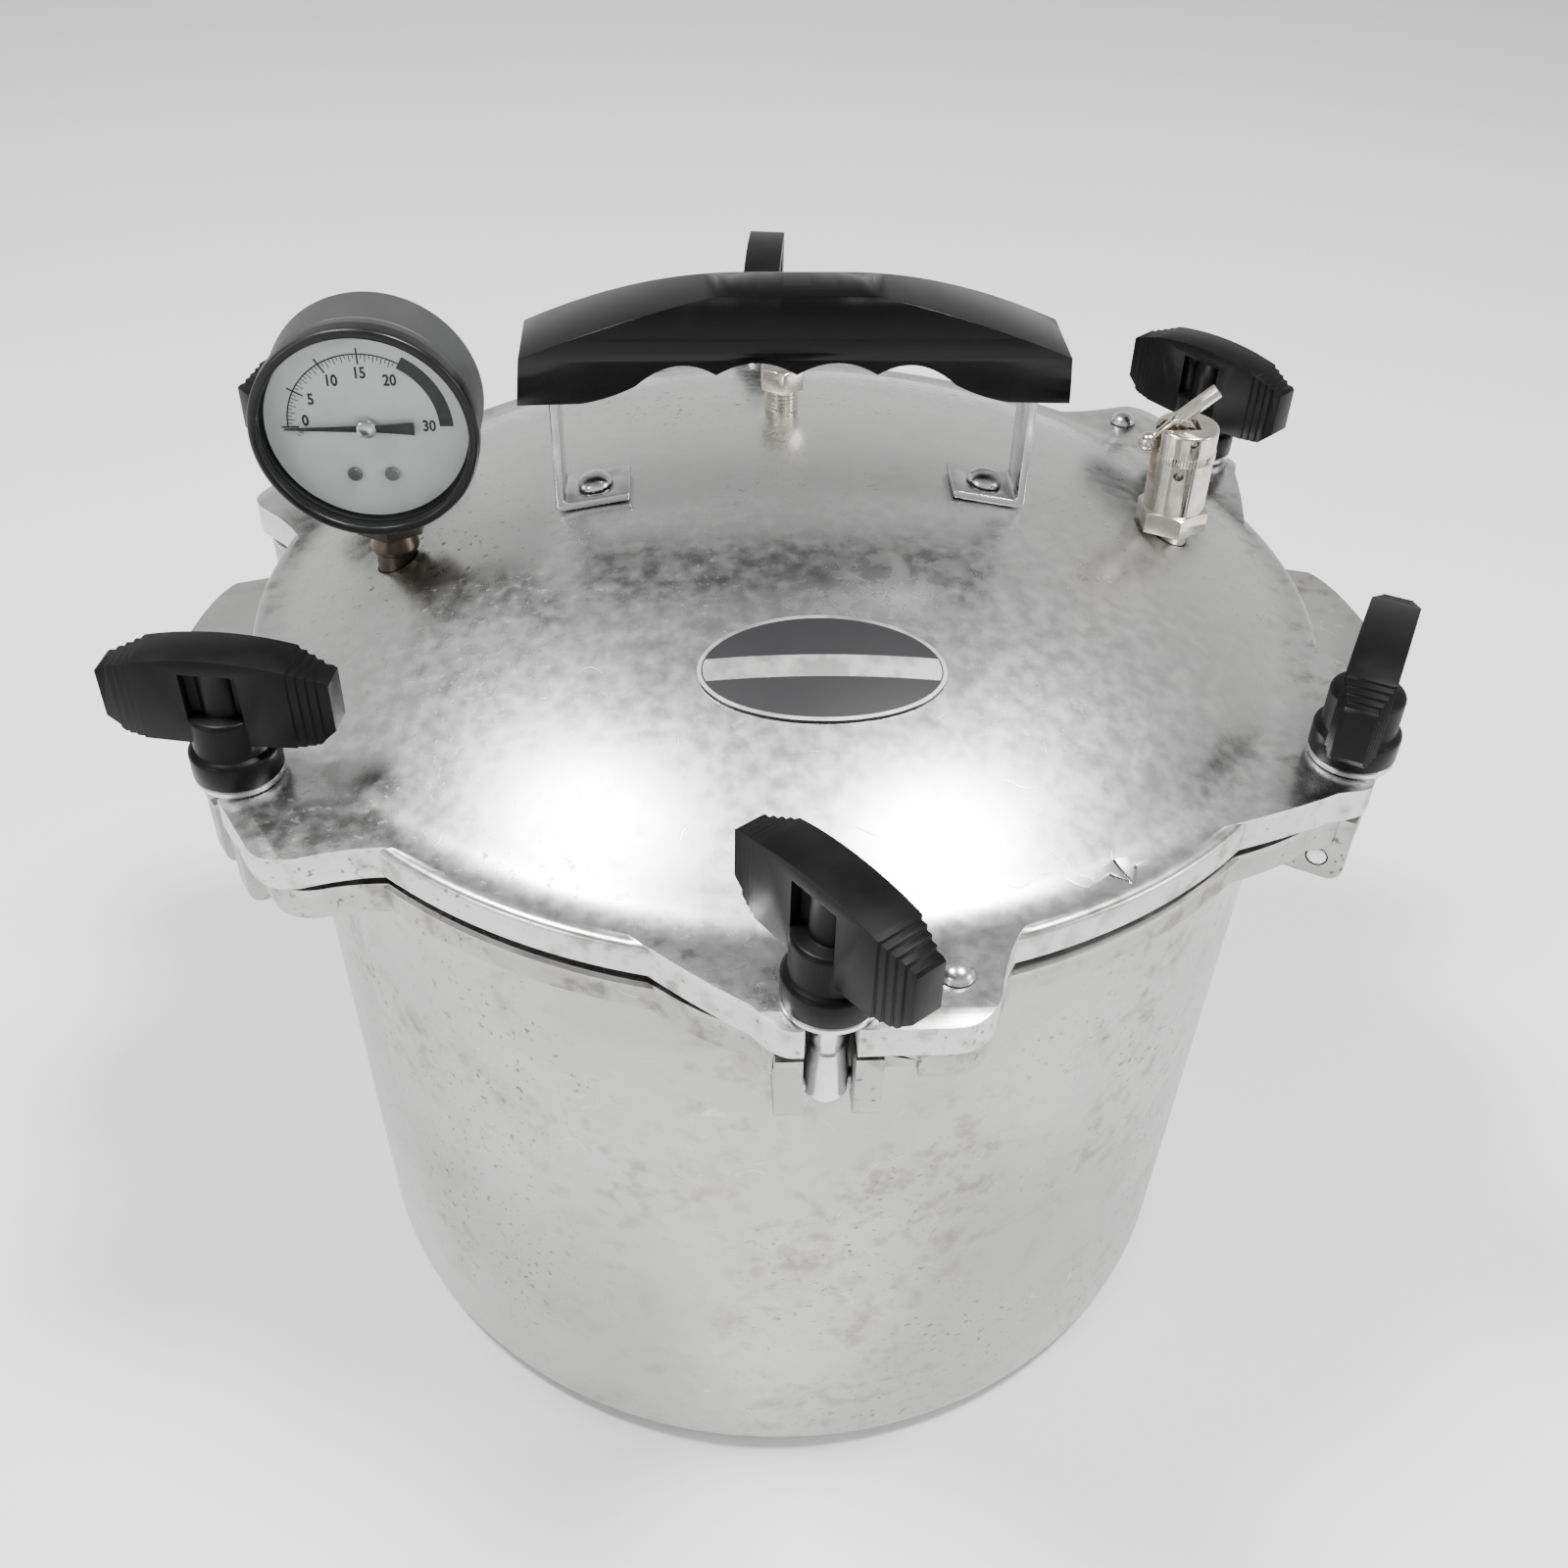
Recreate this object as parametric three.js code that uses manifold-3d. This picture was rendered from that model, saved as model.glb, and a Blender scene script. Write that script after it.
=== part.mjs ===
// Pressure canner: a cast pot and lid held together by six swing bolts with wing nuts.
// Millimetres, +Z up. The origin is the middle of the pot's flat base, one clamp faces -Y,
// and the lid's handle runs along X.
import * as THREE from 'three';
import { mergeVertices } from 'three/addons/utils/BufferGeometryUtils.js';
import Module from 'manifold-3d';

const wasm = await Module();
wasm.setup();

// ---- Driving dimensions ------------------------------------------------------------------

const GAP = 0.3;                  // working clearance between pieces that touch
const ROUND = 48;                 // facets round the pot and the lid
const DISC = 32;                  // facets round the gauge and the rack

// Pot
const POT_TAPER = 5.4;            // radius the pot loses from the rim down to the base
const POT_RIM_R = 160;            // outer radius under the flange
const POT_WALL = 5;
const POT_FLOOR = 7;
const POT_BASE_CORNER = 10;
const POT_TOP = 239;              // top face of the pot's flange
const FLANGE_OVERHANG = 6.8;      // both flanges past the pot's rim
const POT_FLANGE_T = 10;
const SEAT_DROP = 7;              // height of the conical metal-to-metal seat
const SEAT_SLOPE = 4 / 7;         // radius lost per millimetre of drop
const SEAT_GAP = 0.4;             // radial gap at the seat

// Lid
const SEAM = 2.5;                 // open seam between the flanges, outside the seat
const LID_FLANGE_T = 10.5;
const DOME_R = 325;               // outer radius of curvature of the dome
const DOME_INSET = 2;             // dome's edge inside the pot's outer rim
const DOME_T = 6;
const SPIGOT_WALL = 6.6;          // wall of the rim that enters the pot
const SPIGOT_LIP = 1.2;           // rim below the seat

// Clamps
const CLAMPS = 6;
const FIRST_CLAMP = -90;          // bearing of clamp 1, degrees
const BOLT_OUT = 12.4;            // bolts' circle outside the flanges
const BOLT_R = 4.5;
const BOLT_EYE_WALL = 1.6;        // ball at the bolt's foot, past its shank
const PIN_R = 3;
const PIN_BELOW_TOP = 15.5;       // hinge pin's axis below the pot's top face
const EAR_T = 6.8;                // thickness of a pot ear beside the slot
const EAR_BELOW_PIN = 6.8;
const LUG_REACH = 9;              // lug past the bolt's axis
const LUG_SHELF = 23.8;           // lug's long side past its ear, where a stud can stand
const WASHER_R = 12;
const WASHER_T = 2.2;
const INSERT_WALL = 2.9;          // past the bolt's thread
const INSERT_H = 18.4;            // its top stays inside the hub
const BOLT_ABOVE_WASHER = 29;
const NUT_H = 39;                 // wing nut, from the washer to its crown
const NUT_LENGTH = 62;
const NUT_T = 13.5;
const NUT_COLLAR_LIP = 1.8;       // collar past the hub
const NUT_COLLAR_H = 7.5;
const NUT_HUB_WALL = 3;           // hub round the insert
const NUT_UNDER = 13;             // underside of the wings above the washer
const NUT_HUB_SAG = 0.8;          // the underside's fall towards the hub
const NUT_STEPS = 4;              // finger steps at each end
const NUT_STEP_RUN = 2.3;
const NUT_STEP_FALL = 0.95;       // from one step to the next
const NUT_STEP_LIP = 0.9;         // each step's own height
const NUT_SHOULDER = 3.3;         // first step's foot below the crown
const NUT_END_LAND = 0.8;         // flat between the last step and the end
const NUT_END_TOP = 7;            // the end's top corner below the crown
const NUT_BEVEL = 4.5;            // the end's lower corner
const NUT_TURNS = [-53, 2, 10, 84, -20, 52];   // where each nut stopped, degrees from the rim's tangent

// Side grips cast on the pot's rim
const GRIP_OUT = 24.7;            // grip past the flange
const GRIP_BACK = 27;             // grip's back corner, +Y
const GRIP_FRONT = -46;           // grip's front corner, -Y

// Handle
const HANDLE_RISE = 62;           // top of the grip above the dome
const HANDLE_HALF = 80;           // half of the grip's length
const HANDLE_DEPTH = 27;
const STRAP_X = 70;               // upright of each bracket
const STRAP_T = 2.5;
const STRAP_W = 18;
const RIVET_X = 59;
const RIVET_R = 3;
const FOOT_INNER_X = 49;

// Gauge
const GAUGE_X = -120.5;
const GAUGE_Y = -9;               // stem
const GAUGE_RISE = 52.8;          // middle of the dial above the lid at the stem
const GAUGE_R = 31.5;             // bezel
const GAUGE_DEPTH = 29;
const GAUGE_FRONT = -31;          // front of the bezel, Y
const CASE_R = 30.6;
const CASE_T = 1.4;
const DIAL_R = 28;
const DIAL_DEPTH = 6.5;           // dial behind the bezel's front
const SOCKET_HEX = 19;            // across flats
const SOCKET_DEPTH = 18;          // stem below its seat on the lid
const SOCKET_TOP = 18;            // stem's top below the gauge's centre
const SOCKET_BORE_R = 2;
const SOCKET_BORE_LAND = 2;       // the bore stops short of the stem's top
const SOCKET_STEM_R = 6;
const PINION_TEETH = 8;
const SECTOR_TEETH = 32;          // in a full circle of the sector's pitch
const GEAR_MODULE = 1;

// Petcock
const PETCOCK_X = 121;
const PETCOCK_Y = 2;
const PETCOCK_R = 9.8;
const PETCOCK_H = 34;             // from the underside of its hexagon
const PETCOCK_HEX_H = 7;
const PETCOCK_HEX = 19.5;         // across flats
const PETCOCK_STEM_R = 6;
const LEVER_TILT = 42;            // lever above level, degrees
const LEVER_PIN_DROP = 2;         // lever pin below the barrel's top
const LEVER_OFFSET = 5.2;         // lever's axis above its pin
const LEVER_SLOT_W = 7.2;
const LEVER_BALL_R = 3;
const LEVER_BALL_AT = -11;
const LEVER_TIP_AT = 14;

// Relief plug
const RELIEF_Y = 54;
const RELIEF_HEX = 13.4;          // across flats
const RELIEF_NECK_R = 5.6;
const RELIEF_H = 15.5;            // above the lid
const RELIEF_STEM_R = 4.5;
const RELIEF_BALL_R = 2.4;
const RELIEF_TRAVEL = 1.5;        // ball's lift off its seat

// Nameplate
const PLATE_X = 4;
const PLATE_Y = -85.5;
const PLATE_L = 68;
const PLATE_W = 35.5;
const PLATE_T = 0.8;

// Rack
const RACK_CLEAR = 1.2;           // radial room to the flat of the pot's floor
const RACK_T = 2;
const RACK_TOP = 30;

// ---- Materials ---------------------------------------------------------------------------

function finish(color, roughness, metalness) {
  return new THREE.MeshStandardMaterial({ color, roughness, metalness });
}
const CAST = finish(0xb9b9b5, 0.42, 1);
const POLISHED = finish(0xc4c4c1, 0.24, 1);
const STEEL = finish(0xb4b5b6, 0.25, 1);
const NICKEL = finish(0xbfb8ab, 0.18, 1);
const BAKELITE = finish(0x1a1a1a, 0.55, 0);
const GLOSS_BLACK = finish(0x0d0d0e, 0.18, 0);
const BRASS = finish(0xb08d4a, 0.35, 1);
const DIAL_WHITE = finish(0xe9ebe8, 0.5, 0);
const GLASS = finish(0xdfe6e6, 0.05, 0);

// ---- Shape helpers -----------------------------------------------------------------------

const group = new THREE.Group();

const rad = THREE.MathUtils.degToRad;

// A closed geometry as a solid: positions are merged and flat triangles are left out.
function solid(geometry) {
  const bare = geometry.clone();
  bare.deleteAttribute('normal');
  bare.deleteAttribute('uv');
  const merged = mergeVertices(bare, 1e-4);
  const index = merged.index.array;
  const kept = [];
  for (let i = 0; i < index.length; i += 3) {
    const [a, b, c] = [index[i], index[i + 1], index[i + 2]];
    if (a !== b && b !== c && c !== a) kept.push(a, b, c);
  }
  const vertProperties = new Float32Array(merged.attributes.position.array);
  const triVerts = new Uint32Array(kept);
  return new wasm.Manifold(new wasm.Mesh({ numProp: 3, vertProperties, triVerts }));
}

function toGeometry(manifold) {
  const mesh = manifold.getMesh();
  const geometry = new THREE.BufferGeometry();
  geometry.setAttribute('position', new THREE.BufferAttribute(new Float32Array(mesh.vertProperties), 3));
  geometry.setIndex(Array.from(mesh.triVerts));
  geometry.computeVertexNormals();
  return geometry;
}

function joined(first, ...others) {
  return toGeometry(others.reduce((whole, piece) => whole.add(solid(piece)), solid(first)));
}

function cut(first, ...others) {
  return toGeometry(others.reduce((whole, piece) => whole.subtract(solid(piece)), solid(first)));
}

function common(first, second) {
  return toGeometry(solid(first).intersect(solid(second)));
}

function addNode(name, geometry, material, parent = group) {
  const mesh = new THREE.Mesh(geometry, material);
  mesh.name = name;
  parent.add(mesh);
  return mesh;
}

// A profile of [radius, height] points turned about Z. It runs up the outside.
function turned(profile, facets) {
  const points = profile.map(([r, z]) => new THREE.Vector2(r, z));
  return new THREE.LatheGeometry(points, facets).rotateX(Math.PI / 2);
}

function rod(radius, low, high, facets = 14) {
  return turned([[0, low], [radius, low], [radius, high], [0, high]], facets);
}

function tube(inner, outer, low, high, facets = 18) {
  return turned([[inner, low], [outer, low], [outer, high], [inner, high], [inner, low]], facets);
}

function hexagon(acrossFlats, low, high) {
  return rod(acrossFlats / Math.sqrt(3), low, high, 6);
}

function slab(shape, low, high, curveSegments = 3) {
  const options = { depth: high - low, bevelEnabled: false, curveSegments };
  return new THREE.ExtrudeGeometry(shape, options).translate(0, 0, low);
}

function outline(points) {
  return new THREE.Shape(points.map(([x, y]) => new THREE.Vector2(x, y)));
}

function block(x0, x1, y0, y1, z0, z1) {
  const box = new THREE.BoxGeometry(x1 - x0, y1 - y0, z1 - z0);
  return box.translate((x0 + x1) / 2, (y0 + y1) / 2, (z0 + z1) / 2);
}

// Points of an arc about [cx, cz], from one bearing to another in degrees.
function arc(cx, cz, radius, from, to, steps) {
  const points = [];
  for (let i = 0; i <= steps; i += 1) {
    const t = rad(from + (to - from) * i / steps);
    points.push([cx + radius * Math.cos(t), cz + radius * Math.sin(t)]);
  }
  return points;
}

// An outline drawn in X and Z, given a thickness along Y.
function sideSlab(shape, thickness, curveSegments = 3) {
  return slab(shape, -thickness / 2, thickness / 2, curveSegments).rotateX(Math.PI / 2);
}

// ---- Heights that follow from the dimensions ---------------------------------------------

const POT_BASE_R = POT_RIM_R - POT_TAPER;
const FLANGE_R = POT_RIM_R + FLANGE_OVERHANG;
const BOLT_CIRCLE = FLANGE_R + BOLT_OUT;
const BOLT_EYE_R = BOLT_R + BOLT_EYE_WALL;
const SLOT_W = 2 * (BOLT_EYE_R + GAP);   // slot through both lugs for the bolt
const LUG_SHORT = SLOT_W / 2 + EAR_T;    // lug's short side, clockwise of the bolt
const LUG_LONG = LUG_SHORT + LUG_SHELF;
const INSERT_R = BOLT_R + INSERT_WALL;
const NUT_HUB_R = INSERT_R + NUT_HUB_WALL;
const NUT_COLLAR_R = NUT_HUB_R + NUT_COLLAR_LIP;
const GRIP_REACH = FLANGE_R + GRIP_OUT;
const DOME_EDGE_R = POT_RIM_R - DOME_INSET;
const LID_UNDER = POT_TOP + SEAM;
const LID_TOP = LID_UNDER + LID_FLANGE_T;
const DOME_CENTRE = LID_TOP - Math.sqrt(DOME_R ** 2 - DOME_EDGE_R ** 2);
const PIN_Z = POT_TOP - PIN_BELOW_TOP;
const POT_INNER_CORNER = POT_BASE_CORNER - 2;
const RACK_R = POT_BASE_R - POT_WALL - POT_INNER_CORNER - RACK_CLEAR;
const PIN_BLIND_END = SLOT_W / 2 + EAR_T - 1.5;
const WASHER_Z = LID_TOP + GAP;
const NUT_Z = WASHER_Z + WASHER_T + GAP;
const SEAT_R = POT_RIM_R - 0.5;   // the seat's top edge on the pot
const SEAT_LOW_R = SEAT_R - SEAT_DROP * SEAT_SLOPE;
const FLANGE_LOW = POT_TOP - POT_FLANGE_T;

function domeHeight(r, lift = 0) {
  return DOME_CENTRE + Math.sqrt((DOME_R + lift) ** 2 - r ** 2);
}

const DOME_TOP = domeHeight(0);
const HANDLE_TOP = DOME_TOP + HANDLE_RISE;
const GAUGE_Z = domeHeight(Math.hypot(GAUGE_X, GAUGE_Y)) + GAUGE_RISE;
const PETCOCK_HEX_Z = domeHeight(Math.hypot(PETCOCK_X, PETCOCK_Y) - PETCOCK_HEX / Math.sqrt(3)) + GAP;
const PETCOCK_TOP = PETCOCK_HEX_Z + PETCOCK_H;
const RELIEF_SEAT = domeHeight(RELIEF_Y);
const RELIEF_TOP = RELIEF_SEAT + RELIEF_H;

function clampBearing(k) {
  return rad(FIRST_CLAMP + k * 360 / CLAMPS);
}

// Local axes at a clamp: X points outward from the pot's axis and Y runs anticlockwise.
function atClamp(geometry, k) {
  return geometry.rotateZ(clampBearing(k));
}

// ---- Pot ---------------------------------------------------------------------------------

// Plan of a lug, with a gentle run-out on its short side and a tight one on its long side.
// Both run-outs start on the flange, and the plan closes along an arc inside it.
function lugPlan(reach, short, long) {
  const corner = 4;
  const start = -Math.asin((short + 38) / FLANGE_R);
  const end = Math.asin((long + 17) / FLANGE_R);
  const edge = FLANGE_R - 1;
  const plan = new THREE.Shape();
  plan.moveTo(edge * Math.cos(start), edge * Math.sin(start));
  plan.quadraticCurveTo(FLANGE_R + 5, -short - 18, reach - 8, -short - 6);
  plan.quadraticCurveTo(reach, -short, reach, -short + corner);
  plan.lineTo(reach, long - 2 * corner);
  plan.quadraticCurveTo(reach, long + 1, reach - 9, long + 4.5);
  plan.quadraticCurveTo(FLANGE_R - 4, long + 8, edge * Math.cos(end), edge * Math.sin(end));
  plan.absarc(0, 0, FLANGE_R - 4, end, start, true);
  return plan;
}

const LUG_OUT = BOLT_CIRCLE + LUG_REACH;

// The slot that lets the bolt swing outwards, closed by a half round behind the bolt.
function boltSlot(low, high, radius) {
  const plan = new THREE.Shape();
  const bottom = BOLT_CIRCLE - 1.2;
  plan.moveTo(LUG_OUT + 10, -radius);
  plan.lineTo(LUG_OUT + 10, radius);
  plan.lineTo(bottom, radius);
  plan.absarc(bottom, 0, radius, Math.PI / 2, -Math.PI / 2 + 2 * Math.PI, false);
  return slab(plan, low, high, 5);
}

// Two ears carry the hinge pin, and a shallower shelf runs on under the lid's long side.
function potLug(k) {
  const wall = POT_RIM_R - 1.5;
  const rim = FLANGE_R - 5;
  const half = SLOT_W / 2;
  const bottom = PIN_Z - EAR_BELOW_PIN;
  const earCorner = 5;
  const side = new THREE.Shape();
  side.moveTo(rim, POT_TOP);
  side.lineTo(LUG_OUT - 1, POT_TOP);
  side.lineTo(LUG_OUT - 1, bottom + earCorner);
  side.quadraticCurveTo(LUG_OUT - 1, bottom, LUG_OUT - 1 - earCorner, bottom);
  side.lineTo(wall + 8, bottom);
  side.quadraticCurveTo(wall + 3, bottom - 3, wall, bottom - 12);
  side.lineTo(wall, FLANGE_LOW - 1);
  side.lineTo(rim, FLANGE_LOW - 1);
  const ears = sideSlab(side, SLOT_W + 2 * EAR_T);
  const plan = lugPlan(LUG_OUT - 1, LUG_SHORT, LUG_LONG);
  const shelf = slab(plan, FLANGE_LOW, POT_TOP);
  const [pocketStart, pocketEnd] = [half + EAR_T + 4, LUG_LONG - 4];
  const pocket = block(LUG_OUT - 3.4, LUG_OUT + 4, pocketStart, pocketEnd, FLANGE_LOW + 3, FLANGE_LOW + 7);
  const lug = cut(joined(ears, shelf), boltSlot(bottom - 20, POT_TOP + 1, half), pocket);
  return atClamp(lug, k);
}

// A grip cast at the rim on each side; side is 1 towards +X and -1 towards -X.
function sideGrip(side) {
  const plan = new THREE.Shape();
  const inside = FLANGE_R - 5;
  const middle = (GRIP_BACK + GRIP_FRONT) / 2;
  plan.moveTo(side * inside, GRIP_FRONT - 4);
  plan.lineTo(side * (GRIP_REACH - 14), GRIP_FRONT);
  plan.quadraticCurveTo(side * (GRIP_REACH - 3), GRIP_FRONT + 3, side * GRIP_REACH, middle);
  plan.quadraticCurveTo(side * (GRIP_REACH - 3), GRIP_BACK - 8, side * (GRIP_REACH - 10), GRIP_BACK);
  plan.lineTo(side * inside, GRIP_BACK + 6);
  return slab(plan, FLANGE_LOW, POT_TOP);
}

// The pin enters from the clockwise side and stops inside the other ear.
function pinBore(k) {
  const bore = rod(PIN_R + GAP, -SLOT_W / 2 - EAR_T - 8, PIN_BLIND_END, 10);
  return atClamp(bore.rotateX(-Math.PI / 2).translate(BOLT_CIRCLE, 0, PIN_Z), k);
}

function makePot() {
  const innerBase = POT_BASE_R - POT_WALL;
  const body = turned([
    [0, 0],
    ...arc(POT_BASE_R - POT_BASE_CORNER, POT_BASE_CORNER, POT_BASE_CORNER, -90, 0, 3),
    [POT_RIM_R, FLANGE_LOW - 7],
    [POT_RIM_R + 1.5, FLANGE_LOW - 2.5],
    [FLANGE_R - 1.5, FLANGE_LOW],
    [FLANGE_R, FLANGE_LOW + 1.5],
    [FLANGE_R, POT_TOP - 1],
    [FLANGE_R - 1, POT_TOP],
    [SEAT_R, POT_TOP],
    [SEAT_LOW_R, POT_TOP - SEAT_DROP],
    ...arc(innerBase - POT_INNER_CORNER, POT_FLOOR + POT_INNER_CORNER, POT_INNER_CORNER, 0, -90, 2),
    [0, POT_FLOOR],
  ], ROUND);
  const lugs = [];
  const bores = [];
  for (let k = 0; k < CLAMPS; k += 1) {
    lugs.push(potLug(k));
    bores.push(pinBore(k));
  }
  const whole = joined(body, sideGrip(1), sideGrip(-1), ...lugs);
  return cut(whole, ...bores);
}

// ---- Lid ---------------------------------------------------------------------------------

function domeProfile(lift) {
  const points = [];
  const steps = 7;
  for (let i = 0; i <= steps; i += 1) {
    const r = DOME_EDGE_R * (1 - i / steps);
    points.push([r, domeHeight(r, lift)]);
  }
  return points;
}

const SEAT_TOP_R = SEAT_R - SEAT_GAP + SEAM * SEAT_SLOPE;
const SPIGOT_R = SEAT_R - SEAT_GAP - SEAT_DROP * SEAT_SLOPE;
const SPIGOT_INNER_R = SPIGOT_R - SPIGOT_WALL;
const STUD_AT = [BOLT_CIRCLE - 7.2, LUG_LONG - 5.5];   // on the lug's long side
const STUD_R = 2.5;
const STUD_CLAMPS = [0, 2];

// The lug's top edge is rounded over so that the washer clears it as the bolt swings out.
function roundedReach() {
  const pin = [BOLT_CIRCLE, PIN_Z];
  const swing = WASHER_Z - PIN_Z - 0.1;
  const over = new THREE.Shape();
  over.moveTo(pin[0] + 0.5, LID_TOP + 8);
  for (const [x, z] of arc(pin[0], pin[1], swing, 86, 60, 4)) over.lineTo(x, z);
  over.lineTo(LUG_OUT + 12, LID_TOP - 4);
  over.lineTo(LUG_OUT + 12, LID_TOP + 8);
  return sideSlab(over, 130);
}

function lidLug(k) {
  const lug = slab(lugPlan(LUG_OUT, LUG_SHORT, LUG_LONG), LID_UNDER, LID_TOP);
  return atClamp(cut(lug, boltSlot(LID_UNDER - 2, LID_TOP + 2, SLOT_W / 2), roundedReach()), k);
}

function studBore(k) {
  return atClamp(rod(STUD_R + GAP, LID_UNDER - 5, LID_TOP + 5, 10).translate(...STUD_AT, 0), k);
}

const HANDLE_SLOPE = Math.asin(RIVET_X / DOME_R);

// Places a piece that stands on the dome under the handle, square to the slope there.
function onSlope(geometry, side) {
  return geometry.rotateY(side * HANDLE_SLOPE).translate(side * RIVET_X, 0, domeHeight(RIVET_X));
}

function makeLid() {
  const innerEdge = SPIGOT_INNER_R;
  const inner = [];
  const steps = 5;
  for (let i = 0; i <= steps; i += 1) {
    const r = innerEdge * i / steps;
    inner.push([r, domeHeight(r, -DOME_T)]);
  }
  const shell = turned([
    [0, inner[0][1]],
    ...inner.slice(1, -1),
    [innerEdge - 2, inner[steps][1] - 1.5],
    [innerEdge, inner[steps][1] - 5],
    [innerEdge, POT_TOP - SEAT_DROP - SPIGOT_LIP],
    [SPIGOT_R - SPIGOT_LIP, POT_TOP - SEAT_DROP - SPIGOT_LIP],
    [SPIGOT_R, POT_TOP - SEAT_DROP],
    [SEAT_TOP_R, LID_UNDER],
    [FLANGE_R - 1, LID_UNDER],
    [FLANGE_R, LID_UNDER + 1],
    [FLANGE_R, LID_TOP - 2],
    [FLANGE_R - 2, LID_TOP],
    [DOME_EDGE_R + 2, LID_TOP],
    ...domeProfile(0).slice(1),
  ], ROUND);
  const lugs = [];
  for (let k = 0; k < CLAMPS; k += 1) lugs.push(lidLug(k));
  const bores = [
    ...STUD_CLAMPS.map(studBore),
    onSlope(rod(RIVET_R + GAP, -14, 6, 12), 1),
    onSlope(rod(RIVET_R + GAP, -14, 6, 12), -1),
    rod(SOCKET_STEM_R + GAP, LID_UNDER, DOME_TOP, 16).translate(GAUGE_X, GAUGE_Y, 0),
    rod(PETCOCK_STEM_R + GAP, LID_UNDER, DOME_TOP, 16).translate(PETCOCK_X, PETCOCK_Y, 0),
    rod(RELIEF_STEM_R + GAP, LID_UNDER, DOME_TOP + 5, 16).translate(0, RELIEF_Y, 0),
  ];
  return cut(joined(shell, ...lugs), ...bores);
}

addNode('pot_body', makePot(), CAST);
addNode('lid_body', makeLid(), POLISHED);

// ---- Clamps ------------------------------------------------------------------------------

function hingePin(k) {
  const start = -SLOT_W / 2 - EAR_T;
  const pin = rod(PIN_R, start, PIN_BLIND_END - GAP, 10);
  return atClamp(pin.rotateX(-Math.PI / 2).translate(BOLT_CIRCLE, 0, PIN_Z), k);
}

// The bolt grows from a ball-shaped eye through a bell-shaped neck to its threaded shank.
function swingBolt(k) {
  const top = WASHER_Z + WASHER_T + BOLT_ABOVE_WASHER;
  const neck = PIN_Z + 15;
  const bolt = turned([
    [0, PIN_Z - BOLT_EYE_R],
    ...arc(0, PIN_Z, BOLT_EYE_R, -60, 15, 3),
    [BOLT_R + 1.2, PIN_Z + 7],
    [BOLT_R + 0.3, neck - 4],
    [BOLT_R, neck],
    [BOLT_R, top - 1],
    [BOLT_R - 1, top],
    [0, top],
  ], 12);
  const eye = rod(PIN_R + GAP, -BOLT_EYE_R - 1, BOLT_EYE_R + 1, 10);
  eye.rotateX(-Math.PI / 2).translate(0, 0, PIN_Z);
  return atClamp(cut(bolt, eye).translate(BOLT_CIRCLE, 0, 0), k);
}

function clampWasher(k) {
  const ring = tube(BOLT_R + GAP, WASHER_R, WASHER_Z, WASHER_Z + WASHER_T);
  return atClamp(ring.translate(BOLT_CIRCLE, 0, 0), k);
}

function nutInsert(k) {
  const ring = tube(BOLT_R + GAP, INSERT_R, NUT_Z, NUT_Z + INSERT_H, 12);
  return atClamp(ring.translate(BOLT_CIRCLE, 0, 0), k);
}

// Half of the wings' side view, from the middle outwards: arched crown, four finger steps,
// upright end and a bevelled lower corner.
function wingSide() {
  const half = NUT_LENGTH / 2;
  const firstStep = half - NUT_END_LAND - NUT_STEPS * NUT_STEP_RUN;
  const right = [[0, NUT_H], [half * 0.25, NUT_H - 0.35], [half * 0.48, NUT_H - 1.6]];
  for (let i = 0; i < NUT_STEPS; i += 1) {
    const x = firstStep + i * NUT_STEP_RUN;
    const z = NUT_H - NUT_SHOULDER - i * NUT_STEP_FALL;
    right.push([x, z + NUT_STEP_LIP], [x + NUT_STEP_RUN * 0.8, z]);
  }
  right.push([half, NUT_H - NUT_END_TOP], [half, NUT_UNDER + NUT_BEVEL]);
  right.push([half - NUT_BEVEL, NUT_UNDER], [NUT_HUB_R, NUT_UNDER - NUT_HUB_SAG]);
  const left = right.slice(1).reverse().map(([x, z]) => [-x, z]);
  return outline([...right, ...left]);
}

function wingNut(k) {
  const wings = sideSlab(wingSide(), NUT_T);
  const hub = turned([
    [0, 0],
    [NUT_COLLAR_R, 0],
    [NUT_COLLAR_R, NUT_COLLAR_H],
    [NUT_HUB_R, NUT_COLLAR_H + 1],
    [NUT_HUB_R, NUT_UNDER + 6],
    [NUT_T / 2 - 1, NUT_UNDER + 8],
    [0, NUT_UNDER + 8],
  ], 16);
  const insertRoom = rod(INSERT_R + GAP, -1, INSERT_H + GAP, 12);
  const boltRoom = rod(BOLT_R + GAP, 0, BOLT_ABOVE_WASHER + 3, 10);
  const nut = cut(joined(wings, hub), insertRoom, boltRoom).rotateZ(Math.PI / 2 + rad(NUT_TURNS[k]));
  return atClamp(nut.translate(BOLT_CIRCLE, 0, NUT_Z), k);
}

for (let k = 0; k < CLAMPS; k += 1) {
  const number = k + 1;
  addNode(`hinge_pin_${number}`, hingePin(k), STEEL);
  addNode(`swing_bolt_${number}`, swingBolt(k), STEEL);
  addNode(`clamp_washer_${number}`, clampWasher(k), STEEL);
  addNode(`nut_insert_${number}`, nutInsert(k), BRASS);
  addNode(`wing_nut_${number}`, wingNut(k), BAKELITE);
}

// ---- Lid studs ---------------------------------------------------------------------------

// A domed stud that drops behind the pot's lug and keeps the lid in register.
function lidStud(k) {
  const head = LID_TOP + GAP;
  const profile = [
    [0, LID_UNDER - 1.5],
    [STUD_R, LID_UNDER - 1.5],
    [STUD_R, head],
    [4.6, head],
    [4.3, head + 1.6],
    [2.6, head + 3],
    [0, head + 3.5],
  ];
  return atClamp(turned(profile, 12).translate(...STUD_AT, 0), k);
}
STUD_CLAMPS.forEach((k, i) => addNode(`lid_stud_${i + 1}`, lidStud(k), STEEL));

// ---- Nameplate ---------------------------------------------------------------------------

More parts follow.
